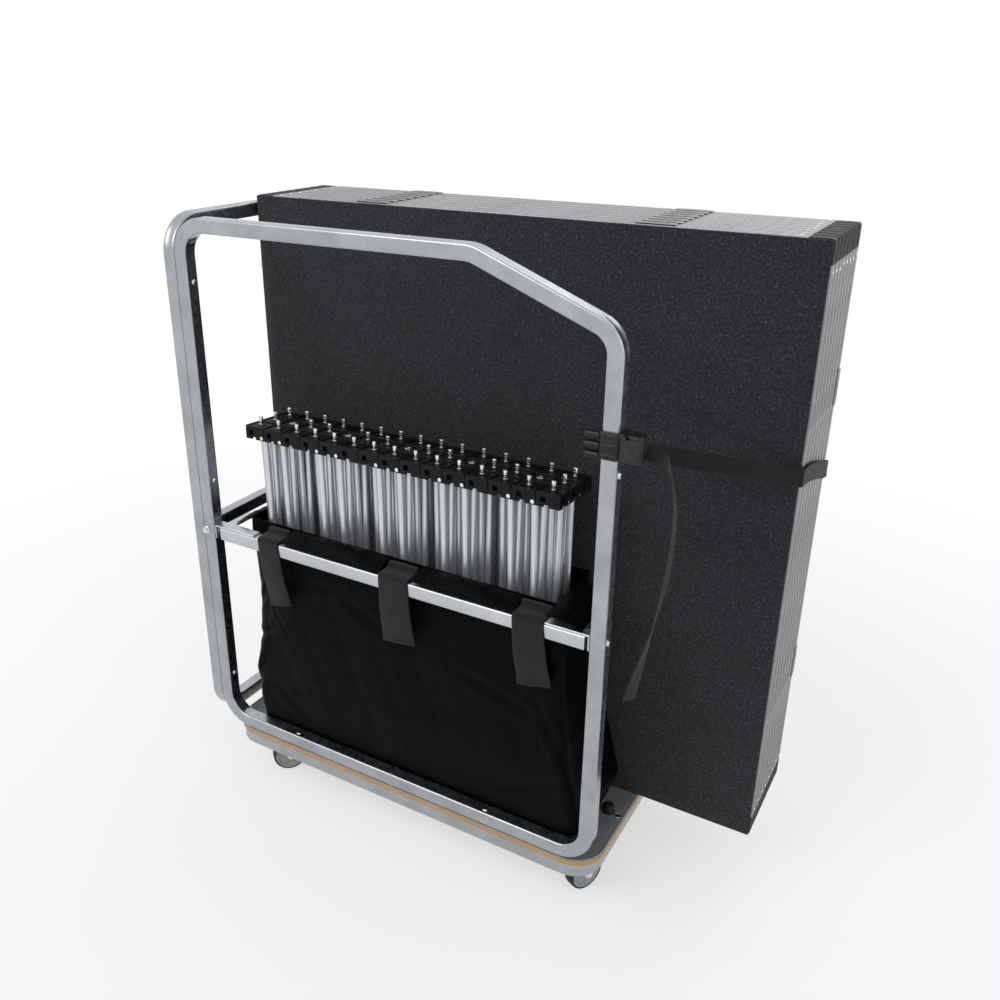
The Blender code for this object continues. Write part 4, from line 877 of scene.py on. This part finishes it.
def riserPieces(number):
    low, high = nodeBox(f"riser_{number}_front_row")
    size, body = riserSize, f"riser_{number}"
    hubTop, base = high[2] - size["cadStud"], low[2]
    columns = low[0] - size["cadClear"] / 2 + size["pitchX"] * (np.arange(3) + 0.5)
    rows = low[1] - size["cadClear"] / 2 + size["pitchY"] * (np.arange(3) + 0.5)
    grid = np.array([(x, y, hubTop) for y in rows for x in columns])
    hub = hubShape()
    under = {**hub, "verts": hub["verts"] * (1, 1, -1)}
    names = [f"riser_{number}_{row}_row" for row in ("front", "middle", "rear")]
    hubs = joined(tilted(repeated(hub, grid), rows[1]), repeated(under, grid * (1, 1, 0) + (0, 0, base)))
    newPiece(f"riser{number}Hubs", hubs, hubPlastic, names, body, angle=30)
    # Every hub hangs one tube of each crossed pair towards each neighbour; a pivot pin joins the pair half way.
    hang, foot = hubTop - size["grip"], base + size["grip"]
    half, beyond = (hang + foot) / 2, size["pinReach"]
    tubes, pins = [], []
    for spots, others, turned, reach, offs in ((columns, rows, False, size["reach"], (size["front"], size["back"])),
            (rows, columns, True, size["reachY"], (size["left"], size["right"]))):
        for k, along in enumerate(spots):
            for across in others:
                ends = []
                for step, off in zip((1, -1), offs):
                    if 0 <= k + step <= 2:
                        ends.append(((along + step * reach, across + off, hang),
                            (spots[k + step] - step * reach, across + off, foot), size["tube"], 14))
                if k < 2:
                    middle = (along + spots[k + 1]) / 2
                    ends.append(((middle, across + offs[0] - beyond, half),
                        (middle, across + offs[1] + beyond, half), size["pinRadius"], 12))
                for a, b, radius, sides in ends:
                    a, b = ((p[1], p[0], p[2]) if turned else p for p in (a, b))
                    (pins if sides == 12 else tubes).append(rodShape(a, b, radius, sides))
    newPiece(f"riser{number}Tubes", tilted(joined(*tubes), rows[1], foot, hang), riserAluminium, body=body)
    edges = [place for k, place in enumerate(grid) if k != 4]
    disc = turnedShape([(0, -0.001), (size["disc"], -0.001), (size["disc"], 0.0006), (size["disc"] - 0.0006, 0.0012),
        (0.003, 0.0012), (0.0026, 0.0008), (0, 0.0008)], 28)
    pin = domeShape(size["pin"], 0.0006, 14)
    w, d = hubHalf
    aside, up, domes = size["domeShare"], hubTop - size["domeDrop"], []
    for k in (0, 1):
        for x, y, way in ((columns[k] + w * aside, rows[0] - d, (0, -1, 0)),
                (columns[2 - k] - w * aside, rows[2] + d, (0, 1, 0)),
                (columns[2] + w, rows[k] + d * aside, (1, 0, 0)),
                (columns[0] - w, rows[2 - k] - d * aside, (-1, 0, 0))):
            domes.append(placed(pin, (x, y, up), facing(way)))
    studs = tilted(joined(repeated(studShape(), edges), placed(disc, grid[4]), *domes), rows[1])
    newPiece(f"riser{number}Studs", joined(studs, *pins), studSteel, body=body, angle=30)


riserNumbers = [n for n in range(1, 60) if f"riser_{n}_front_row" in frame["nodes"]]
for number in riserNumbers:
    riserPieces(number)
print("risers made:", len(riserNumbers))

# Bag: a lofted shell that bellies out, with creases, hung from the rail by three tabs.
bagSize = dict(skin=0.0015, columns=110, sides=30, corner=6, rows=90, pinch=(0.01, 0.018), pinchNear=0.045,
    clear=0.0002, cloth=0.0012)
bagLow, bagHigh = nodeBox("riser_bag")
hubLow = nodeBox("riser_1_front_row")[0]
hubHigh = nodeBox(f"riser_{riserNumbers[-1]}_rear_row")[1]
# Share of the height, slack to the left, right, front and back of the risers, and the corner radius.
bagKeys = np.array([(0.0, 0.0045, 0.055, 0.017, 0.0362, 0.022), (0.027, 0.0045, 0.0585, 0.0185, 0.0362, 0.023),
    (0.076, 0.0045, 0.066, 0.0205, 0.0372, 0.024), (0.134, 0.0045, 0.0735, 0.027, 0.0372, 0.025),
    (0.336, 0.0045, 0.048, 0.033, 0.0372, 0.024), (0.671, 0.003, 0.03, 0.0315, 0.0362, 0.022),
    (0.839, 0.0028, 0.025, 0.0255, 0.0322, 0.02), (0.906, 0.0025, 0.015, 0.0189, 0.0242, 0.016),
    (0.951, 0.0025, 0.0034, 0.005, 0.0042, 0.006), (1.0, 0.0025, 0.0034, 0.004, 0.0037, 0.006)])
# Creases on the front: middle x and share of height, lean, half length, half width, depth.
bagCreases = [(-0.385, 0.7, 0.5, 0.05, 0.006, 0.003), (-0.372, 0.52, 0.9, 0.06, 0.007, 0.0035),
    (-0.39, 0.33, 0.3, 0.07, 0.008, 0.003), (-0.35, 0.62, -0.7, 0.045, 0.006, 0.0022),
    (-0.25, 0.8, 1.4, 0.06, 0.009, 0.002), (-0.12, 0.72, -1.2, 0.07, 0.01, 0.0022),
    (0.03, 0.78, 1.1, 0.065, 0.009, 0.002), (0.12, 0.6, -1.3, 0.08, 0.01, 0.0024),
    (0.205, 0.72, 0.4, 0.055, 0.007, 0.003), (0.235, 0.45, -0.5, 0.08, 0.009, 0.0034),
    (0.18, 0.22, 1.0, 0.07, 0.01, 0.0026), (-0.3, 0.16, -0.9, 0.07, 0.01, 0.0024)]


def bagRings(share):
    # Each ring is a rounded rectangle: its corner plus the run along a side plus the radius along its way out.
    n, m, c = bagSize["columns"], bagSize["sides"], bagSize["corner"]
    line, side, arc = np.linspace(0, 1, n + 1)[1:-1], np.linspace(0, 1, m + 1)[1:-1], np.linspace(0, np.pi / 2, c + 1)
    zero, one = np.zeros_like, np.ones_like
    alongX = np.concatenate([line, one(arc), one(side), one(arc), 1 - line, zero(arc), zero(side), zero(arc)])
    alongY = np.concatenate([zero(line), zero(arc), side, one(arc), one(line), one(arc), 1 - side, zero(arc)])
    wayX = np.concatenate([zero(line), np.sin(arc), one(side), np.cos(arc), zero(line), -np.sin(arc), -one(side),
        -np.cos(arc)])
    wayY = np.concatenate([-one(line), -np.cos(arc), zero(side), np.sin(arc), one(line), np.cos(arc), zero(side),
        -np.sin(arc)])
    values = np.stack([np.interp(share, bagKeys[:, 0], bagKeys[:, k]) for k in range(1, 6)], axis=1)[:, :, None]
    toLeft, toRight, toFront, toBack, r = (values[:, k] for k in range(5))
    clear = bagSize["clear"]
    x0, x1 = hubLow[0] - clear - toLeft, hubHigh[0] + clear + toRight
    y0, y1 = hubLow[1] - clear - toFront, hubHigh[1] + clear + toBack
    x = x0 + r + (x1 - x0 - 2 * r) * alongX + r * wayX
    y = y0 + r + (y1 - y0 - 2 * r) * alongY + r * wayY
    z = np.repeat((bagLow[2] + (bagHigh[2] - bagLow[2]) * share)[:, None], len(alongX), axis=1)
    return np.stack([x, y, z], axis=2), np.stack([wayX, wayY, zero(wayX)], axis=1)


def bagShape():
    # Outer wall up, inner wall down, both moved by the same creases: each crease is a groove with a bell
    # section round a leaning line, faded at the ends, and broad ripples lie over all of it.
    share = np.linspace(0, 1, bagSize["rows"])
    rings, way = bagRings(share)
    x, z = rings[..., 0], rings[..., 2]
    height = bagHigh[2] - bagLow[2]
    swell = ripple(x + 0.4 * z, 3, (0.19, 0.083, 0.041), 0.0012) + ripple(z - 0.2 * x, 5, (0.16, 0.061), 0.0009)
    for mx, mz, lean, length, width, depth in bagCreases:
        dx, dz = x - mx, z - (bagLow[2] + height * mz)
        along, off = dx * math.sin(lean) + dz * math.cos(lean), dx * math.cos(lean) - dz * math.sin(lean)
        groove, banks = (off / width) ** 2, ((np.abs(off) - 1.6 * width) / width) ** 2
        swell = swell + depth * (0.5 * np.exp(-banks) - np.exp(-groove)) * np.exp(-(along / length) ** 4)
    fade = np.clip((share - 0.02) / 0.08, 0, 1) * np.clip((0.93 - share) / 0.1, 0, 1)
    front = np.clip(-way[:, 1], 0, 1) + 0.45 * np.abs(way[:, 0])
    move = (swell * fade[:, None] * front)[..., None] * way
    outer = rings + move
    # The front left corner is pinched in: its share of the height by its nearness to the corner.
    tall = np.interp(share, (0.3, 0.45, 0.7, 0.85, 0.95), (0, 0.7, 1, 0.7, 0))[:, None]
    away = (rings[..., :2] - (x[:, 0].min(), rings[..., 1].min())) / bagSize["pinchNear"]
    near = np.exp(-(away ** 2).sum(axis=2))
    outer[..., :2] += (tall * near)[..., None] * np.array(bagSize["pinch"])
    inner = outer - way * bagSize["skin"]
    inner[:, :, 2] = np.maximum(inner[:, :, 2], bagLow[2] + bagSize["skin"])
    return gridShape(np.concatenate([outer, inner[::-1]]), closedV=True, capped=True)


newPiece("riserBag", bagShape(), bagNylon, ["riser_bag"], angle=60)


def flapShape(along, across, levels, rise, seed, swap=False):
    # Loose cloth on the rail. Across it runs from the bag's rim outwards, from one level to the next, with a
    # half sine on top whose rise is given along the run; ripples crease it. Swapped, the run is y.
    share, wide = np.linspace(0, 1, 80), np.linspace(0, 1, 20)
    run = along[0] + (along[1] - along[0]) * share
    height = smoothPath(rise, 12)
    height = np.interp(share, height[:, 0], height[:, 1])[:, None]
    crease = ripple(run, seed, (0.06, 0.024, 0.013), 0.0016)[:, None]
    a = np.repeat(run[:, None], len(wide), axis=1) + 0.002 * np.sin(5 * wide + seed) * np.sin(9 * share)[:, None]
    b = across[0] + (across[1] - across[0]) * wide + 0.35 * crease * np.sin(np.pi * wide / 2)
    z = levels[0] + (levels[1] - levels[0]) * wide + (height + crease) * np.sin(np.pi * wide) ** 0.8
    z = np.maximum(z, min(levels) - 0.0002)
    top = np.stack([b, a, z] if swap else [a, b, z], axis=2)
    return gridShape(np.concatenate([top, top[:, ::-1] - (0, 0, bagSize["cloth"])], axis=1), closedV=True,
        capped=True)


# Each cloth: its run, its place across, its two levels, its rise, the ripples' seed, and the run's way.
flapX, flapZ = (-0.16, -0.199), (0.5585, 0.5495)
flaps = dict(bagFlapLeft=((-0.309, -0.1), flapX, flapZ,
    [(0, 0), (0.18, 0.005), (0.35, 0.009), (0.55, 0.015), (0.75, 0.008), (1, 0)], 4),
    bagFlapRight=((-0.0335, 0.156), flapX, flapZ,
    [(0, 0.001), (0.25, 0.006), (0.45, 0.013), (0.7, 0.007), (1, 0.001)], 9),
    bagFoldLeft=((-0.172, -0.062), (-0.4095, -0.435), (0.559, 0.549),
    [(0, 0.001), (0.3, 0.006), (0.6, 0.004), (1, 0.001)], 5, True),
    bagFoldRight=((-0.199, -0.1), (0.2105, 0.27), (0.56, 0.549),
    [(0, 0.003), (0.3, 0.01), (0.65, 0.006), (1, 0.001)], 6, True))
for name, values in flaps.items():
    newPiece(name, flapShape(*values), bagNylon, angle=70)

# Webbing tabs: up inside the bag's rim, over it and the rail, and down in front, leaning to the right.
tabSize = dict(thick=0.0018, flare=1.1, clear=0.0003, bow=0.0004, wave=0.001)
tabLooks = {"bag_tab_left": dict(width=0.046, lean=0.02, shorter=0.004, seed=1),
    "bag_tab_middle": dict(width=0.058, lean=0.009, shorter=0.008, seed=2),
    "bag_tab_right": dict(width=0.054, lean=0.015, shorter=0.012, seed=3)}
for node, look in tabLooks.items():
    low, high = nodeBox(node)
    t, x = tabSize["thick"], (low[0] + high[0]) / 2
    width, hem = look["width"], low[2] + look["shorter"]
    face, overRail, inside = low[1] + t / 2, railHigh[2] + tabSize["clear"] + t / 2, high[1] - t / 2
    keys = [(inside, high[2] - 0.012), (inside - 0.0006, high[2] - 0.004), (inside - 0.004, high[2] - t / 2),
        (inside - 0.01, high[2] - 0.002), (railLow[1] + 0.03, overRail + 0.004),
        (railLow[1] + 0.022, overRail + 0.0012), (railLow[1] + 0.008, overRail + 0.0012),
        (railLow[1] + 0.0015, overRail - 0.0004), (face + 0.0002, overRail - 0.0035), (face, overRail - 0.014),
        (face - 0.0003, railLow[2] - 0.01), (face - 0.0006, railLow[2] - 0.045), (face + 0.0012, hem + 0.018),
        (face + 0.0008, hem)]
    flat = smoothPath(keys, 6)
    drop = np.clip((overRail - flat[:, 1]) / (overRail - hem), 0, 1)
    path = np.column_stack([x + look["lean"] * drop ** 1.5, flat])
    widths = width * (1 + (tabSize["flare"] - 1) * drop)
    section = ribbonSection(widths, t, 14, tabSize["bow"])
    section[..., 1] += tabSize["wave"] * drop[:, None] * np.sin(section[..., 0] / width * 5 + look["seed"])
    newPiece("tab" + node.split("_")[2].capitalize(), sweptShape(path, section, (1, 0, 0)), tabWebbing, [node],
        angle=50)
print("bag and tabs made")

# Cargo strap: from the clip round the decks' right edges, behind them and round the end frame.
strapSize = dict(width=0.028, thick=0.0016, off=0.0018, step=0.028, bulge=0.0012, riseAtClip=0.013, drop=0.074,
    lower=0.127, outFromNose=0.0006, inFromFront=0.0346)
strapLow, strapHigh = nodeBox("cargo_strap")
lastDeck = nodeBox(f"deck_{deckNumbers[-1]}_panel")[1]
firstDeck = nodeBox("deck_1_panel")[0]
strapRight = strapHigh[0] - strapSize["thick"] / 2 - strapSize["bulge"]
strapLeft, strapBehind = strapLow[0] + strapSize["thick"] / 2, strapHigh[1] - strapSize["thick"] / 2
back, far, edgeY = lastDeck[1] + 2 * strapSize["off"], endHigh[0], endHigh[1]
middle, lower = clipMiddle - strapSize["drop"], clipMiddle - strapSize["lower"]
inner = edgeY - tubeSize["side"]
start = np.array((uprightRight + clipSize["nose"] + strapSize["outFromNose"], frontLow[1] + strapSize["inFromFront"],
    clipMiddle - strapSize["riseAtClip"]))
turnPoint = np.array((strapRight - 0.004, firstDeck[1] - 0.0038, middle))
share = np.linspace(0, 1, 7)[:, None]
sideShare = np.arange(1, 8) / 8
sideRun = np.column_stack([strapRight + strapSize["bulge"] * np.sin(np.pi * sideShare),
    firstDeck[1] + 0.0025 + (lastDeck[1] - firstDeck[1] - 0.005) * sideShare,
    middle - 0.001 - (middle - lower) * sideShare ** 1.4])
backShare = np.array((0.33, 0.66, 1.0))[:, None]
backStart, backEnd = np.array((strapRight - 0.006, back, lower)), np.array((far + strapSize["step"], back, lower))
strapKeys = np.concatenate([start + (turnPoint - start) * share,
    [(strapRight - 0.0012, firstDeck[1] - 0.0018, middle - 0.0005),
    (strapRight, firstDeck[1] + 0.0025, middle - 0.001)], sideRun,
    [(strapRight, lastDeck[1] + 0.0008, lower + 0.001), (strapRight - 0.0012, back - 0.0009, lower + 0.0005),
    backStart], backStart + (backEnd - backStart) * backShare,
    [(far + 0.006, strapBehind, lower), (far - 0.002, strapBehind, lower), (strapLeft + 0.004, strapBehind, lower),
    (strapLeft + 0.0004, strapBehind - 0.001, lower), (strapLeft, strapBehind - 0.004, lower),
    (strapLeft, inner + 0.0015, lower), (strapLeft + 0.0006, inner - 0.001, lower),
    (strapLeft + 0.004, inner - 0.0016, lower), (far - 0.0016, inner - 0.0016, lower)]])
newPiece("cargoStrap", sweptShape(smoothPath(strapKeys, 4),
    ribbonSection(strapSize["width"], strapSize["thick"], 10)), strapWebbing, ["cargo_strap"], angle=50)

# Clip: a band round the upright with three wrapped ribs, a rounded nose and a hinged lever plate.
wall = clipSize["wall"]
x0, x1 = uprightRight - tubeSize["side"], uprightRight
y0, y1 = frontLow[1], frontHigh[1]
z0 = clipMiddle - clipSize["bandHeight"] / 2
z1 = clipMiddle + clipSize["bandHeight"] / 2


def wrapShape(thick, low, high, outX, outY, round):
    # A closed band round the upright: its inner wall lies on the tube and its outer wall is a wider
    # rounded square, both carried from low to high with the rims drawn in.
    clear = clipSize["clear"]
    inner = roundedPath(rect(x0 - clear, y0 - clear, x1 + clear, y1 + clear), tubeSize["edge"], 8)
    outer = roundedPath(rect(x0 - outX, y0 - thick, x1 + thick, y1 + outY), round, 8)
    rim = min(0.0016, (high - low) * 0.3)
    middleLoop = outer + (inner - outer) * 0.35
    levels = ((inner, low), (middleLoop, low), (outer, low + rim), (outer, high - rim), (middleLoop, high),
        (inner, high))
    return stackShape(levels, ring=True)


clipShapes = [wrapShape(wall - 0.001, z0 + 0.0012, z1 - 0.0012, wall - 0.0008, wall - 0.001, 0.005)]
for k in range(clipSize["ribs"]):
    low = z0 + 0.0006 + k * clipSize["ribPitch"]
    clipShapes.append(wrapShape(wall - 0.0002, low, low + clipSize["ribHeight"], wall + clipSize["ribOut"] - 0.0012,
        wall + 0.0012, clipSize["ribRound"]))
    tipX, tipY = x0 - clipSize["fingerReach"], y0 - wall - 0.0014
    finger = roundedPath(rect(tipX, tipY, x0 - wall + 0.003, tipY + clipSize["fingerDeep"]),
        [0.0058, 0.0012, 0.0012, 0.0058], 6)
    clipShapes.append(plateShape(finger, low + 0.0002, low + clipSize["ribHeight"] - 0.0002, 0.0018))
noseEnd = x1 + clipSize["nose"]
noseOutline = roundedPath([(x1 + wall - 0.002, y0 - wall + 0.0004), (noseEnd, y0 - wall + 0.0004),
    (noseEnd, y0 + 0.0173), (x1 + wall - 0.002, y0 + 0.0205)], [0.001, 0.0082, 0.0082, 0.001], 8)
clipShapes.append(plateShape(noseOutline, z0 + 0.0006, z1 - 0.0006, 0.0014))
pinX, pinY = joints["clip_lever_hinge"]["pos_m"][:2]
lug = clipSize["lug"]
for low in (z0, z1 - lug):
    clipShapes.append(roundBlock((pinX - 0.0036, pinY - 0.0034, low), (pinX + 0.0036, y0 - wall + 0.0014, low + lug),
        0.0012, 3))
newPiece("clipBody", joined(*clipShapes), clipPlastic, ["clip_body"], angle=45)
pinShape = rodShape((pinX, pinY, z0 + 0.0008), (pinX, pinY, z1 - 0.0008), clipSize["pinRadius"], 14)
newPiece("clipPin", pinShape, zincPlate)
leverLow, leverHigh = z0 + clipSize["leverIn"], z1 - clipSize["leverIn"]
leverRun = smoothPath([(pinX + 0.0014, pinY - 0.0012), (pinX + 0.008, pinY - 0.0016), (pinX + 0.016, pinY - 0.0012),
    (pinX + clipSize["leverLength"], pinY - 0.0004)], 5)
leverPath = np.column_stack([leverRun, np.full(len(leverRun), (leverLow + leverHigh) / 2)])
lever = sweptShape(leverPath, squareSection(leverHigh - leverLow, clipSize["leverThick"], 0.0013))
knuckle = placed(turnedShape([(0.0021, leverLow), (0.0034, leverLow + 0.0003), (0.0036, leverLow + 0.001),
    (0.0036, leverHigh - 0.001), (0.0034, leverHigh - 0.0003), (0.0021, leverHigh)], 20, ring=True), (pinX, pinY, 0))
rimOutline = roundedPath(rect(0.008, leverLow + 0.003, clipSize["leverLength"] - 0.003, leverHigh - 0.003), 0.004, 6)
rimPath = np.column_stack([pinX + rimOutline[:, 0], np.full(len(rimOutline), pinY - 0.0029), rimOutline[:, 1]])
rim = sweptShape(rimPath, circleSection(0.0007, 8), (0, 1, 0), closed=True)
newPiece("clipLever", joined(lever, knuckle, rim), cornerPlastic, ["clip_lever"], "lever", angle=45)
print("strap and clip made")

# Swivel casters: pressed fork, axle bolt, grey wheel and black tyre.
casterSize = dict(wheel=0.068, width=0.023, hub=0.03, axle=0.004, cheek=0.0024, crown=0.0215, crownThick=0.003,
    trail=0.0255, cheekClear=0.0019, boltOut=0.001, nut=(0.01, 0.0034, 0.0062))


def mirroredRing(half, sides):
    # A ring turned from half a profile and the same half with its heights turned over.
    return turnedShape(half + [(radius, -height) for radius, height in half[::-1]], sides, ring=True)


def casterPieces(place, pivot):
    side = np.array(joints[place + "_roll"]["axis"], float)
    hub = np.array(joints[place + "_roll"]["pos_m"], float)
    out = np.array((side[1], -side[0], 0.0))
    size, name = casterSize, "caster" + "".join(word.capitalize() for word in place.split("_"))
    low, high = nodeBox(f"caster_{place}_fork")
    crownLow = high[2] - size["crownThick"]
    r, axle, trail = size["crown"], hub[2], size["trail"]
    crown = turnedShape([(0, crownLow), (r - 0.001, crownLow), (r, crownLow + 0.0008), (r, high[2] - 0.0009),
        (r - 0.0014, high[2]), (0, high[2])], 40)
    parts = [placed(crown, (pivot[0], pivot[1], 0))]
    inside, t = size["width"] / 2 + size["cheekClear"], size["cheek"]
    top = crownLow + size["crownThick"] * 0.6
    outline = roundedPath([(-0.5 * r, top), (0.86 * r, top), (trail + 0.0078, axle + 0.004),
        (trail + 0.0065, axle - 0.0068), (trail - 0.0065, axle - 0.0068), (trail - 0.0088, axle + 0.001)],
        [0.0016, 0.006, 0.004, 0.0045, 0.0045, 0.006], 6)
    for way in (-1, 1):
        axes = (out, (0, 0, 1), side * way)
        cheek = plateShape(outline, inside, inside + t, 0.0006)
        parts.append(placed(cheek, (pivot[0], pivot[1], 0), axes))
    newPiece(name + "Fork", joined(*parts), zincPlate, [f"caster_{place}_fork"], "caster_" + place)
    reach = inside + t
    bolt = side * (reach + size["boltOut"])
    rod = rodShape(hub - bolt, hub + bolt, size["axle"] - 0.0002, 18)
    nut = boltShape(*size["nut"])
    ends = [placed(nut, hub + side * way * reach, facing(side * way)) for way in (-1, 1)]
    newPiece(name + "Axle", joined(rod, *ends), zincPlate, body="caster_" + place)
    w, R = size["width"] / 2, size["hub"]
    face = [(0.0046, w + 0.0005), (0.01, w + 0.0005), (0.0108, w - 0.0002), (0.0112, 0.64 * w), (0.0126, 0.6 * w),
        (0.0228, 0.66 * w), (0.0242, 0.73 * w), (0.0252, 0.86 * w), (0.0264, 0.9 * w), (R - 0.0004, 0.9 * w),
        (R, 0.84 * w)]
    newPiece(name + "Wheel", placed(mirroredRing(face, 48), hub, facing(side)), wheelGrey, [f"caster_{place}_wheel"],
        "wheel_" + place, angle=30)
    outer = size["wheel"] / 2 * math.cos(math.pi / 20)
    half = [(R + 0.0002, 0.92 * w), (R + 0.001, 0.96 * w), (outer - 0.0016, 0.96 * w), (outer - 0.0006, 0.82 * w),
        (outer, 0.5 * w), (outer, 0.16 * w)]
    newPiece(name + "Tyre", placed(mirroredRing(half, 64), hub, facing(side)), tyreRubber, [f"caster_{place}_tyre"],
        "wheel_" + place)


for place, pivot in pivots.items():
    casterPieces(place, pivot)
print("casters made")

# Studio: pale floor that keeps the shadow, white behind it, and three wide soft lamps.
studio = dict(floor=9.0, floorWhite=0.93, shadowKeep=0.42, fill=0.62, keepTo=0.9, goneAt=2.2)
lamps = [("keyLamp", (-1.6, -3.2, 3.4), 2.6, 72.0), ("sideLamp", (3.4, -1.6, 2.2), 2.2, 20.0),
    ("backLamp", (0.6, 3.6, 3.0), 3.0, 34.0)]


def seenRay(tree):
    # 1 for a ray from the camera, off a mirror or through glass, and 0 for light that falls on the pieces.
    light = wire(tree, "LightPath", {})
    camera, glossy, through = (light.outputs[f"Is {kind} Ray"] for kind in ("Camera", "Glossy", "Transmission"))
    return merged(tree, merged(tree, camera, glossy, "MAXIMUM"), through, "MAXIMUM")


ground = bpy.data.meshes.new("studioFloor")
edge = studio["floor"]
ground.from_pydata([(-edge, -edge, 0), (edge, -edge, 0), (edge, edge, 0), (-edge, edge, 0)], [], [(0, 1, 2, 3)])
floor = linked("studioFloor", ground)
floorFinish = bpy.data.materials.new("paleFloor")
tree = bare(floorFinish)
matte = wire(tree, "BsdfDiffuse", {"Color": (studio["floorWhite"],) * 3 + (1,)})
glow = wire(tree, "Emission", {"Color": (1, 1, 1, 1), "Strength": 1.0})
spot = wire(tree, "VectorMath", {0: wire(tree, "NewGeometry", {}).outputs["Position"]}, operation="LENGTH")
white = spread(tree, spot.outputs["Value"], 1 - studio["shadowKeep"], 1.0, studio["keepTo"], studio["goneAt"])
both = wire(tree, "MixShader", {0: merged(tree, seenRay(tree), white), 1: matte.outputs[0], 2: glow.outputs[0]})
wire(tree, "OutputMaterial", {"Surface": both.outputs[0]})
ground.materials.append(floorFinish)

world = bpy.data.worlds.new("studioWorld")
bpy.context.scene.world = world
tree = bare(world)
dim = wire(tree, "Background", {"Color": (0.96, 0.98, 1.0, 1), "Strength": studio["fill"]})
white = wire(tree, "Background", {"Color": (1, 1, 1, 1), "Strength": 1.0})
both = wire(tree, "MixShader", {0: seenRay(tree), 1: dim.outputs[0], 2: white.outputs[0]})
wire(tree, "OutputWorld", {"Surface": both.outputs[0]})

target = np.array((0.0, 0.0, 0.5))
for name, place, size, power in lamps:
    data = bpy.data.lights.new(name, "AREA")
    data.shape, data.size, data.energy = "SQUARE", size, power
    lamp = linked(name, data)
    axes = facing(np.array(place) - target)
    turn = np.eye(4)
    turn[:3, :3], turn[:3, 3] = axes.T, place
    lamp.matrix_world = Matrix(turn.tolist())
bpy.context.scene.view_settings.view_transform = "Standard"
print("studio lit")
